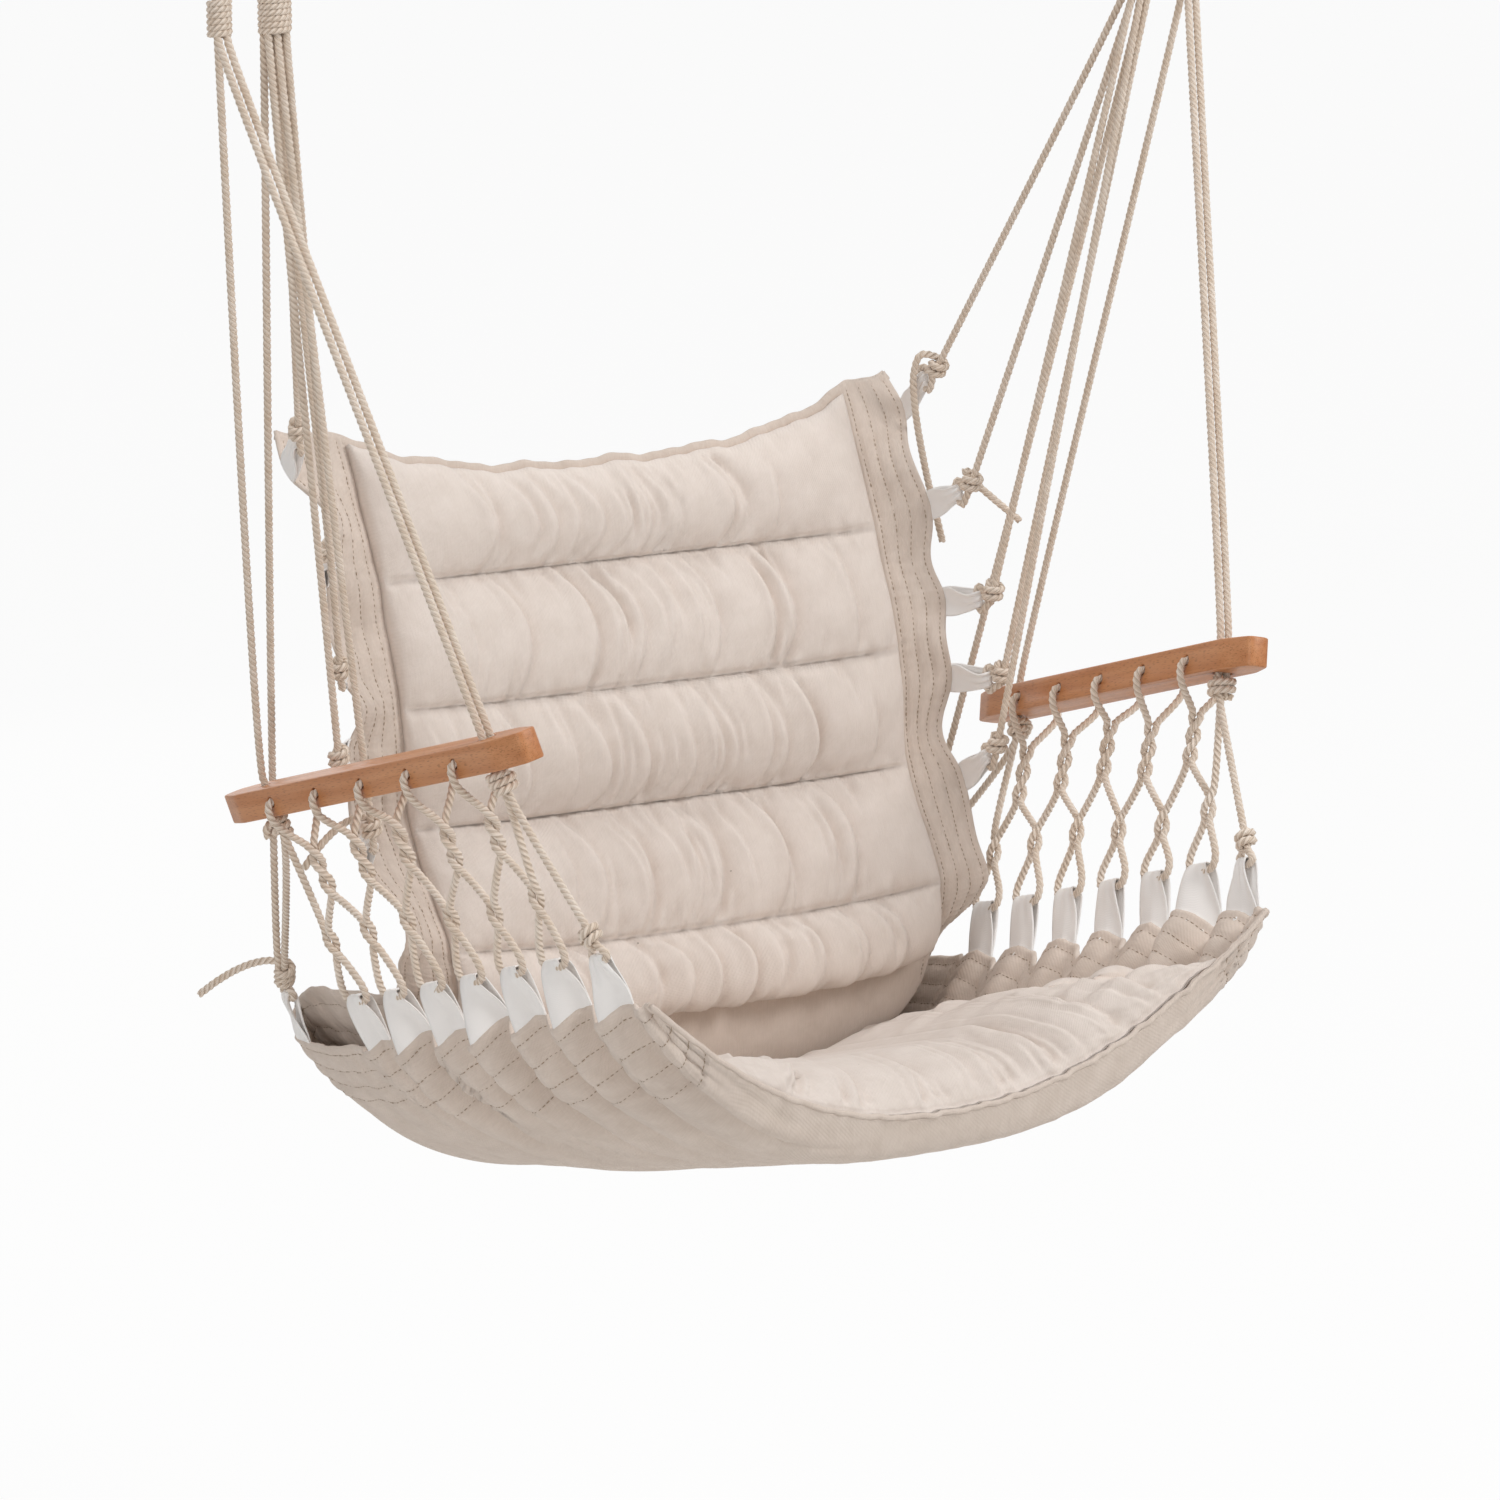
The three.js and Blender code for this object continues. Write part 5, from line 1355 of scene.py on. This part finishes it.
upright = Matrix.Rotation(math.radians(90), 4, "X")
along_x = Matrix.Rotation(math.radians(90), 4, "Y")
rod = prism("turned_rod", circle(bar_size.z / 2, 64), bar_size.x)
rod.transform(along_x)
rod_bores = [(EYE_ROPE / 2 + BORE_CLEARANCE, 2 * bar_size.z, Matrix.Translation((side * reach, 0, 0)))
             for side in SIDES.values() for reach in BAR_HOLE_REACHES]
wooden_piece("turned_spreader_bar", rod, rod_bores, Matrix.Translation(bar_middle), "spreader",
             "spreader_bar")


class Armrest:
    """One armrest's place: its middle, and its own directions to the front, outward and up."""

    def __init__(self, side):
        toe, pitch = ARMREST_TOE, ARMREST_PITCH
        self.origin = Vector((side * ARMREST_SPACING / 2, -ARMREST_FORWARD, ARMREST_LIFT))
        self.front = Vector((-side * math.sin(toe) * math.cos(pitch), -math.cos(toe) * math.cos(pitch),
                             math.sin(pitch)))
        flat_out = Vector((side * math.cos(toe), -math.sin(toe), 0))
        flat_up = square_to(Z, self.front)
        self.up = flat_up * math.cos(ARMREST_ROLL) + flat_out * math.sin(ARMREST_ROLL)
        self.out = flat_out * math.cos(ARMREST_ROLL) - flat_up * math.sin(ARMREST_ROLL)

    def at(self, along, out, up):
        return self.origin + self.front * along + self.out * out + self.up * up


def hole_at(index):
    return (index - (HOLE_COUNT + 1) / 2) * HOLE_PITCH


armrests = {name: Armrest(side) for name, side in SIDES.items()}
tip = ARMREST_LENGTH / 2
edge = ARMREST_WIDTH / 2
shoulder = tip - ARMREST_TAPER_LENGTH
nose = edge - ARMREST_TAPER_DEPTH
armrest_outline = [(-tip, -nose), (-shoulder, -edge), (shoulder, -edge), (tip, -nose),
                   (tip, nose), (shoulder, edge), (-shoulder, edge), (-tip, nose)]
armrest_outline = corner_arcs(armrest_outline, ARMREST_CORNER)
hole_radius = ROPE_RADIUS + BORE_CLEARANCE
for side_name, armrest in armrests.items():
    bores = [(hole_radius, 2 * ARMREST_WIDTH, Matrix.Translation((hole_at(hole), 0, 0)) @ upright)
             for hole in range(1, HOLE_COUNT + 1)]
    bores.append((ROPE + BORE_CLEARANCE, 2 * ARMREST_THICKNESS, Matrix.Translation((END_HOLE_REACH, 0, 0))))
    bores.append((hole_radius, 2 * ARMREST_THICKNESS, Matrix.Translation((-END_HOLE_REACH, 0, 0))))
    across = armrest.up.cross(armrest.front)
    turned = Matrix((armrest.front, across, armrest.up)).transposed().to_4x4()
    placing = Matrix.Translation(armrest.origin + datum) @ turned
    blank = prism("flat_bar", armrest_outline, ARMREST_THICKNESS)
    wooden_piece(f"beech_armrest_{side_name}", blank, bores, placing, "chair", f"armrest_{side_name}")


# The webbing loops: white satin tape folded over a rope, with both ends sewn between the layers of a hem.
# Tape that carries a single rope is gathered where the rope pulls on it.
LOOP_WIDTH = 26 * MM
LOOP_HEIGHT = 38 * MM
BACK_LOOP_HEIGHT = 30 * MM
PINCHED_WIDTH = 12 * MM
LOOP_TAPE = 1 * MM
TAPE_FACE_SHARE = 0.45
LOOP_SEAT = 0.8 * MM
LOOP_CLEARANCE = 0.9 * MM
SOLID_HEM = 6 * MM
LOOP_OPENING = ROPE_RADIUS + LOOP_TAPE
LOOP_ROPE_RISE = LOOP_SEAT + LOOP_HEIGHT - LOOP_TAPE / 2 - LOOP_CLEARANCE - ROPE_RADIUS
LOOP_HALF_STEP = LOOP_ROW_STEP * LOOP_BASE_SHARE
TAPE_TUCK = 7 * MM
TAPE_RIPPLE = 1.3 * MM
# Out from the tape's middle plane and up, as shares of its opening and height, from one sewn end to the other
TAPE_SHARES = [(-0.06, -0.2), (-0.12, 0), (-0.4, 0.3), (-0.8, 0.6), (-1, 0.84), (-0.72, 0.965), (0, 1),
               (0.72, 0.965), (1, 0.84), (0.8, 0.6), (0.4, 0.3), (0.12, 0), (0.06, -0.2)]
TAPE_TUCK_SHARE = 0.2
TAPE_FOOT_SHARE = 0.43
TAPE_STATIONS = 61
TAPE_COLUMNS = 15
TAPE_RIB = 0.9 * MM
TAPE_RELIEF = 0.15 * MM
SATIN_DEPTHS = (4 * MM, 4 * MM, 4 * MM)


def tape_material():
    """White polyester satin webbing: a soft sheen across fine cross ribs."""
    material, tree = blank_material("white satin webbing")
    uv = add(tree, "ShaderNodeUVMap", {"uv_map": "cloth"})[0]
    ribs = add(tree, "ShaderNodeTexWave", {"bands_direction": "Y"},
               {"Vector": uv, "Scale": math.pi / 10 / TAPE_RIB / 2, "Distortion": 0.3})["Fac"]
    shaded_by(tree, Base_Color=linear("#F8F4F1"), Roughness=0.42, Sheen_Weight=0.2, Sheen_Roughness=0.3,
              Subsurface_Weight=0.15, Subsurface_Radius=SATIN_DEPTHS, Subsurface_Scale=0.5, Anisotropic=0.4,
              Normal=relief(tree, ribs, 0.25, TAPE_RELIEF))
    return material


tape_paint = tape_material()


def edge_point(side, row, offset=0.0):
    return Vector(sling_point(float(side), float(row), float(offset)))


def loop_place(side, row, towards):
    """Where a loop stands on the sling's edge: its base, the hem's direction and the loop's own direction."""
    base = edge_point(side, row)
    ahead = edge_point(side, row + LOOP_HALF_STEP / 2)
    along = (ahead - edge_point(side, row - LOOP_HALF_STEP / 2)).normalized()
    up = square_to(towards - base, along)
    corners = [edge_point(side, row + end * LOOP_HALF_STEP, face * SOLID_HEM / 2)
               for end in (-1, 0, 1) for face in (-1, 1)]
    lift = max((corner - base).dot(up) for corner in corners)
    return base + up * lift, along, up


tape_random = np.random.default_rng(5)


def tape_loop(name, side, row, place, height, fold_width, twist, node):
    """A tape from one sewn end, up over its fold and down to the other, turned on its way by the rope."""
    base, along, up = place
    top = base + up * (LOOP_SEAT + height)
    rows_per_metre = 0.2 / (edge_point(side, row + 0.1) - edge_point(side, row - 0.1)).length
    columns_here = np.linspace(-1, 1, TAPE_COLUMNS)
    reach = row + columns_here * LOOP_WIDTH * TAPE_FOOT_SHARE * rows_per_metre
    feet = canvas_point(np.full_like(reach, float(side)), reach)
    tucked = canvas_point(np.full_like(reach, side * (1 - TAPE_TUCK / SLING_HALF_WIDTH)), reach)
    stations = spline([(share, level, 0.0) for share, level in TAPE_SHARES], np.linspace(0, 1, TAPE_STATIONS))
    wave = tape_random.uniform(0, 2 * math.pi)
    hem_way = Vector(feet[-1] - feet[0]).normalized()
    grid = []
    for share, level, _ in stations:
        rise = float(np.clip(level, 0, 1))
        turned = hem_way.lerp(along, rise).normalized()
        turned = Matrix.Rotation(math.radians(twist) * math.sin(math.pi * rise), 3, up) @ turned
        out = np.array(turned.cross(up).normalized())
        width = LOOP_WIDTH + (fold_width - LOOP_WIDTH) * float(smoothstep(rise, 0.1, 0.85))
        gathered = 2.2 * (1 - width / LOOP_WIDTH) * np.cos(2.5 * math.pi * columns_here + wave)
        ripples = TAPE_RIPPLE * (gathered + 0.35 * np.sin(2 * columns_here + wave)) * rise
        low = feet + (tucked - feet) * max(-float(level) / TAPE_TUCK_SHARE, 0)
        high = np.array(top) + np.array(turned) * (columns_here * width / 2)[:, None]
        line = low + (high - low) * rise
        if 0 < rise < 1:
            narrower = columns_here * (width - LOOP_WIDTH) / 2 * (1 - rise) * 0.5
            line += np.array(turned) * narrower[:, None]
        grid.append(line + out * (float(share) * LOOP_OPENING + ripples * np.sign(share or 1))[:, None])
    grid = np.array(grid)
    normal = unit(np.cross(np.gradient(grid, axis=0), np.gradient(grid, axis=1)))
    face = normal * LOOP_TAPE * TAPE_FACE_SHARE
    piece = shell_piece(name, grid + face, grid - face, cloth_map(grid), tape_paint)
    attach(piece, "chair")
    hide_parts(node)


# The chair's ropes. Five on each side run from a bound bundle to the back's loops, one to the loop at the
# fold, one to the armrest's rear and a pair to its front. Each is knotted at its loop or under its armrest.
ROPE_PITCH = 7 * MM
KNOT_RADIUS = 8.5 * MM
LARGE_KNOT_HEIGHT = 19 * MM
GATHER_PLACES = [(-1, -0.5), (0, -0.5), (-1, 0.5), (1, 0.5), (0, 0.5)]
REAR_END_PLACE = (1, -0.5)
ARMREST_REAR_PLACE = (0, -0.5)
ARMREST_FRONT_PLACES = [(-0.5, 0.5), (0.5, 0.5)]
BINDING_CORD = 5 * MM
ROPE_TUCK = 12 * MM
TAIL_SAG_SHARE = 0.3
REAR_TAILS = {"left": (62 * MM, (-0.85, 0.45, -0.1)), "right": (20 * MM, (0.75, -0.3, -0.6))}


def gather_start(side, kind, place, target):
    """A rope's first points: up inside its bundle's binding, and then on its way to its target."""
    low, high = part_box(f"{kind}_rope_bundle_{'left' if side < 0 else 'right'}")
    middle = (low + high) / 2 - datum
    out, front = place
    foot = Vector((middle.x + side * out * ROPE_PITCH, -front * ROPE_PITCH + HANG_SETBACK, GATHER_RISE))
    way = (target - foot).normalized()
    return [foot + Z * ROPE_TUCK, foot + Z * ROPE_TUCK / 3, foot + way * ROPE_TUCK]


def tied_round(start, place, height, turns, tail, tail_way):
    """A rope that comes down from its start, goes through a loop's fold, and is knotted round itself."""
    tail_way = Vector(tail_way).normalized()
    base, along, up = place
    inside = base + up * (LOOP_ROPE_RISE + height - LOOP_HEIGHT)
    outside = base + up * (LOOP_SEAT + height + LOOP_TAPE / 2 + ROPE_RADIUS / 2)
    reach = PINCHED_WIDTH / 2 + ROPE_RADIUS + LOOP_CLEARANCE
    knot = outside + up * (KNOT_RADIUS - ROPE_RADIUS / 2 + SEAT_GAP)
    way = (start[-1] - knot).normalized()
    stretch = ROPE * 1.02 * turns
    route = list(start) + [knot + way * stretch, knot - way * ROPE_RADIUS, outside + along * reach * 0.7,
                           (inside + outside) / 2 + along * reach, inside + along * reach * 0.55,
                           inside - along * reach * 0.55, (inside + outside) / 2 - along * reach]
    wound = turns_round(knot + way * stretch / 2.4, way, -along, turns, ROPE * 0.93, stretch)
    route += wound
    side_way = (wound[-1] - wound[-3]).normalized()
    for share in (0.2, 0.4, 0.6, 0.8, 1.0):
        sag = Z * tail * TAIL_SAG_SHARE * share ** 2
        route.append(wound[-1] + (side_way * (1 - share) * 0.8 + tail_way * share) * tail * share - sag)
    return knot, route


# Loose ends that are longer than the rest, with their lengths and the ways in which they hang
LONG_TAILS = {
    ("right", 1): (115 * MM, (0.12, 0.1, -1)),
    ("right", 2): (46 * MM, (0.7, -0.4, -0.5)),
    ("left", 5): (52 * MM, (-0.75, 0.4, -0.4)),
}
rope_random = np.random.default_rng(3)
for side_name, side in SIDES.items():
    low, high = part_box(f"back_rope_bundle_{side_name}")
    gather = Vector(((low.x + high.x) / 2, 0, low.z)) - datum
    for loop_number, row in enumerate(BACK_LOOP_ROWS, 1):
        place = loop_place(side, row, gather)
        tape_loop(f"back_tape_{side_name}_{loop_number}", side, row, place, BACK_LOOP_HEIGHT, PINCHED_WIDTH,
                  float(rope_random.uniform(-25, 45)) * side, f"back_loop_{side_name}_{loop_number}")
        start = gather_start(side, "back", GATHER_PLACES[loop_number - 1], place[0])
        short = float(rope_random.uniform(9, 16)) * MM
        short_way = (0.3 * side, float(rope_random.uniform(-1, 0.4)), -0.9)
        tail, tail_way = LONG_TAILS.get((side_name, loop_number), (short, short_way))
        _, route = tied_round(start, place, BACK_LOOP_HEIGHT, 2, tail, tail_way)
        rope_piece(f"back_line_{side_name}_{loop_number}", [route], "chair",
                   [f"back_rope_{side_name}_{loop_number}"])


def through_armrest(armrest, side, along, out, gather_place):
    mouth = armrest.at(along, out, ARMREST_THICKNESS / 2 + ROPE)
    start = gather_start(side, "armrest", gather_place, mouth)
    return start + [mouth, armrest.at(along, out, ARMREST_THICKNESS / 2), armrest.at(along, out, 0)]


knot_level = -ARMREST_THICKNESS / 2 - SEAT_GAP - LARGE_KNOT_HEIGHT / 2
for side_name, side in SIDES.items():
    armrest = armrests[side_name]
    # Rear: one rope through the armrest, bound under it with two turns, that runs on to the fold's loop
    rear_knot = armrest.at(-END_HOLE_REACH, 0, knot_level)
    place = loop_place(side, FOLD_LOOP_ROW, rear_knot)
    tape_loop(f"seat_tape_{side_name}_1", side, FOLD_LOOP_ROW, place, LOOP_HEIGHT, PINCHED_WIDTH, 30 * side,
              f"seat_loop_{side_name}_1")
    down = through_armrest(armrest, side, -END_HOLE_REACH, 0, ARMREST_REAR_PLACE)
    down += [rear_knot + armrest.up * ROPE, rear_knot - armrest.up * ROPE * 1.2]
    knot, route = tied_round(down, place, LOOP_HEIGHT, 3, *REAR_TAILS[side_name])
    wrap = turns_round(rear_knot, armrest.up, armrest.front, 2.2, ROPE * 0.95, LARGE_KNOT_HEIGHT - ROPE)
    cross = [rear_knot + armrest.out * ROPE * 1.75 + armrest.up * ROPE * 0.5,
             rear_knot + armrest.out * ROPE * 1.6 - armrest.front * ROPE - armrest.up * ROPE * 0.8]
    gathered = gather_start(side, "back", REAR_END_PLACE, knot)
    aside = armrest.out * ROPE
    second = gathered + [knot + (gathered[-1] - knot).normalized() * 4 * ROPE + aside, knot + aside * 0.5]
    rope_piece(f"rear_lines_{side_name}", [route, wrap + cross, second], "chair",
               [f"rear_ropes_{side_name}"])
    # Front: a pair through the armrest, bound by one thick knot, of which one rope runs on to the front loop
    front_knot = armrest.at(END_HOLE_REACH, 0, knot_level)
    place = loop_place(side, LAST_LOOP_ROW, front_knot)
    tape_loop(f"seat_tape_{side_name}_{LOOP_COUNT + 1}", side, LAST_LOOP_ROW, place, LOOP_HEIGHT,
              PINCHED_WIDTH, -20 * side, f"seat_loop_{side_name}_{LOOP_COUNT + 1}")
    below = front_knot - armrest.up * ROPE * 1.4
    pair = []
    for sign, gather_place in zip((-1, 1), ARMREST_FRONT_PLACES):
        offset = sign * (ROPE_RADIUS + SEAT_GAP)
        aside = armrest.out * offset
        down = through_armrest(armrest, side, END_HOLE_REACH, offset, gather_place)
        pair.append([*down, front_knot + aside, below + aside / 2])
    _, route = tied_round(pair[0], place, LOOP_HEIGHT, 2, 8 * MM, (0.4 * side, -0.7, -0.5))
    wrap = turns_round(front_knot, armrest.up, armrest.out, 2.3, ROPE * 1.35, LARGE_KNOT_HEIGHT - ROPE)
    rope_piece(f"front_lines_{side_name}", [route, pair[1], wrap], "chair", [f"front_ropes_{side_name}"])

# The four bundles: in each, a doubled end of thicker rope hangs over the bend of rope under the bar, and thin
# cord binds it to the tops of the chair's ropes.
for side_name, side in SIDES.items():
    for kind in ("back", "armrest"):
        node = f"{kind}_rope_bundle_{side_name}"
        low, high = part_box(node)
        middle = (low + high) / 2
        collar_radius = (high.x - low.x) / 2
        bend = (EYE_ROPE + LINK_ROPE) / 2 + LINK_CLEARANCE
        hanging = Vector((middle.x, 0, high.z - bend - LINK_ROPE / 2))
        collar_length = hanging.z - LINK_LEG - low.z
        over = bight(Y, hanging, bend, LINK_LEG + collar_length / 2, LINK_ROPE + LINK_CLEARANCE)
        rope_piece(f"{kind}_bundle_eye_{side_name}", [over], "chair", [node], LINK_ROPE, shift=False)
        collar = Vector((middle.x, 0, low.z + collar_length / 2))
        turns = turns_round(collar, Z, X, collar_length / BINDING_CORD, collar_radius - BINDING_CORD / 2,
                            collar_length - BINDING_CORD)
        rope_piece(f"{kind}_bundle_binding_{side_name}", [turns], "chair", [], BINDING_CORD, shift=False)


# The lacing: one rope on each side that runs from the rear knot through each webbing loop and each armrest
# hole in turn to the front knot. Its strands twist together under each hole and cross above each loop.
TWIST_TURNS = 1.25
TWIST_STEPS = 15
TWIST_SPAN_SHARES = [(0.24, 0.5), (0.22, 0.48), (0.2, 0.45), (0.25, 0.5), (0.24, 0.47)]
CROSSING_SHARES = [0.72, 0.7, 0.69, 0.72, 0.74, 0.7]
CROSSING_HALF_SHARE = 0.06
CROSSING_STEPS = 6
MOUTH_SHARE = 0.93
LACE_TWISTS = {"left": [40, 10, 45, -30, 20, 35], "right": [20, 25, 50, -15, 30, 15]}
lace_standoff = ARMREST_WIDTH / 2 + ROPE_RADIUS + SEAT_GAP
twist_radius = ROPE_RADIUS * 1.04


class SideNet:
    """A side net's places: index counts holes from the rear, and share runs from the armrest to the loop."""

    def __init__(self, side, armrest):
        self.side = side
        self.armrest = armrest

    def at(self, index, share, along=0.0, out=0.0):
        top = self.armrest.at(hole_at(index), 0, 0)
        base, hem_way, up = loop_place(self.side, FIRST_LOOP_ROW + (index - 0.5) * LOOP_ROW_STEP, top)
        bottom = base + up * LOOP_ROPE_RISE
        forward = self.armrest.front.lerp(hem_way, share).normalized()
        return top.lerp(bottom, share) + forward * along + self.armrest.out * out

    def crossing(self, loop, way):
        """The lower end of a strand: half a turn round its neighbour, then into the loop."""
        centre = CROSSING_SHARES[int(loop - 0.5)]
        route = []
        for step in range(CROSSING_STEPS + 1):
            turned = step / CROSSING_STEPS
            share = centre + CROSSING_HALF_SHARE * (2 * turned - 1)
            route.append(self.at(loop, share, -way * twist_radius * math.cos(math.pi * turned),
                                 way * twist_radius * math.sin(math.pi * turned)))
        mouth = LOOP_WIDTH / 2 + ROPE_RADIUS + LOOP_CLEARANCE
        route.append(self.at(loop, MOUTH_SHARE, way * mouth))
        route.append(self.at(loop, (MOUTH_SHARE + 2) / 3, way * mouth))
        route.append(self.at(loop, 1, way * (mouth - ROPE_RADIUS)))
        return route

    def strand(self, hole, face, way):
        """A strand from a hole to a loop: face is the armrest's outer or inner side, way is front or rear."""
        def hang(out, up):
            return self.armrest.at(hole_at(hole), face * out, up)

        route = [hang(lace_standoff - ROPE_RADIUS, 0), hang(lace_standoff, -ROPE_RADIUS),
                 hang(lace_standoff, -ARMREST_THICKNESS / 2 - ROPE_RADIUS)]
        first, last = TWIST_SPAN_SHARES[hole - 1]
        for step in range(TWIST_STEPS + 1):
            turned = step / TWIST_STEPS
            angle = (0 if face > 0 else math.pi) + turned * TWIST_TURNS * 2 * math.pi
            route.append(self.at(hole, first + (last - first) * turned, twist_radius * math.sin(angle),
                                 twist_radius * math.cos(angle)))
        return route + self.crossing(hole + way / 2, way)


for side_name, side in SIDES.items():
    armrest = armrests[side_name]
    net = SideNet(side, armrest)
    for loop in range(HOLE_COUNT + 1):
        row = FIRST_LOOP_ROW + loop * LOOP_ROW_STEP
        place = loop_place(side, row, net.at(loop + 0.5, 0))
        tape_loop(f"seat_tape_{side_name}_{loop + 2}", side, row, place, LOOP_HEIGHT, LOOP_WIDTH * 0.8,
                  LACE_TWISTS[side_name][loop] * 0.5, f"seat_loop_{side_name}_{loop + 2}")
    rear_knot = armrest.at(-END_HOLE_REACH, 0, knot_level)
    front_knot = armrest.at(END_HOLE_REACH, 0, knot_level)
    rear_way = (net.at(0.5, CROSSING_SHARES[0]) - rear_knot).normalized()
    front_way = (net.at(HOLE_COUNT + 0.5, CROSSING_SHARES[-1]) - front_knot).normalized()
    route = [rear_knot + rear_way * ROPE] + net.crossing(0.5, 1)
    for hole in range(1, HOLE_COUNT + 1):
        route += net.strand(hole, -1, -1)[::-1] + net.strand(hole, 1, 1)
    route += net.crossing(HOLE_COUNT + 0.5, -1)[::-1] + [front_knot + front_way * ROPE]
    rope_piece(f"lacing_rope_{side_name}", [route], "chair", [f"side_lacing_{side_name}"])
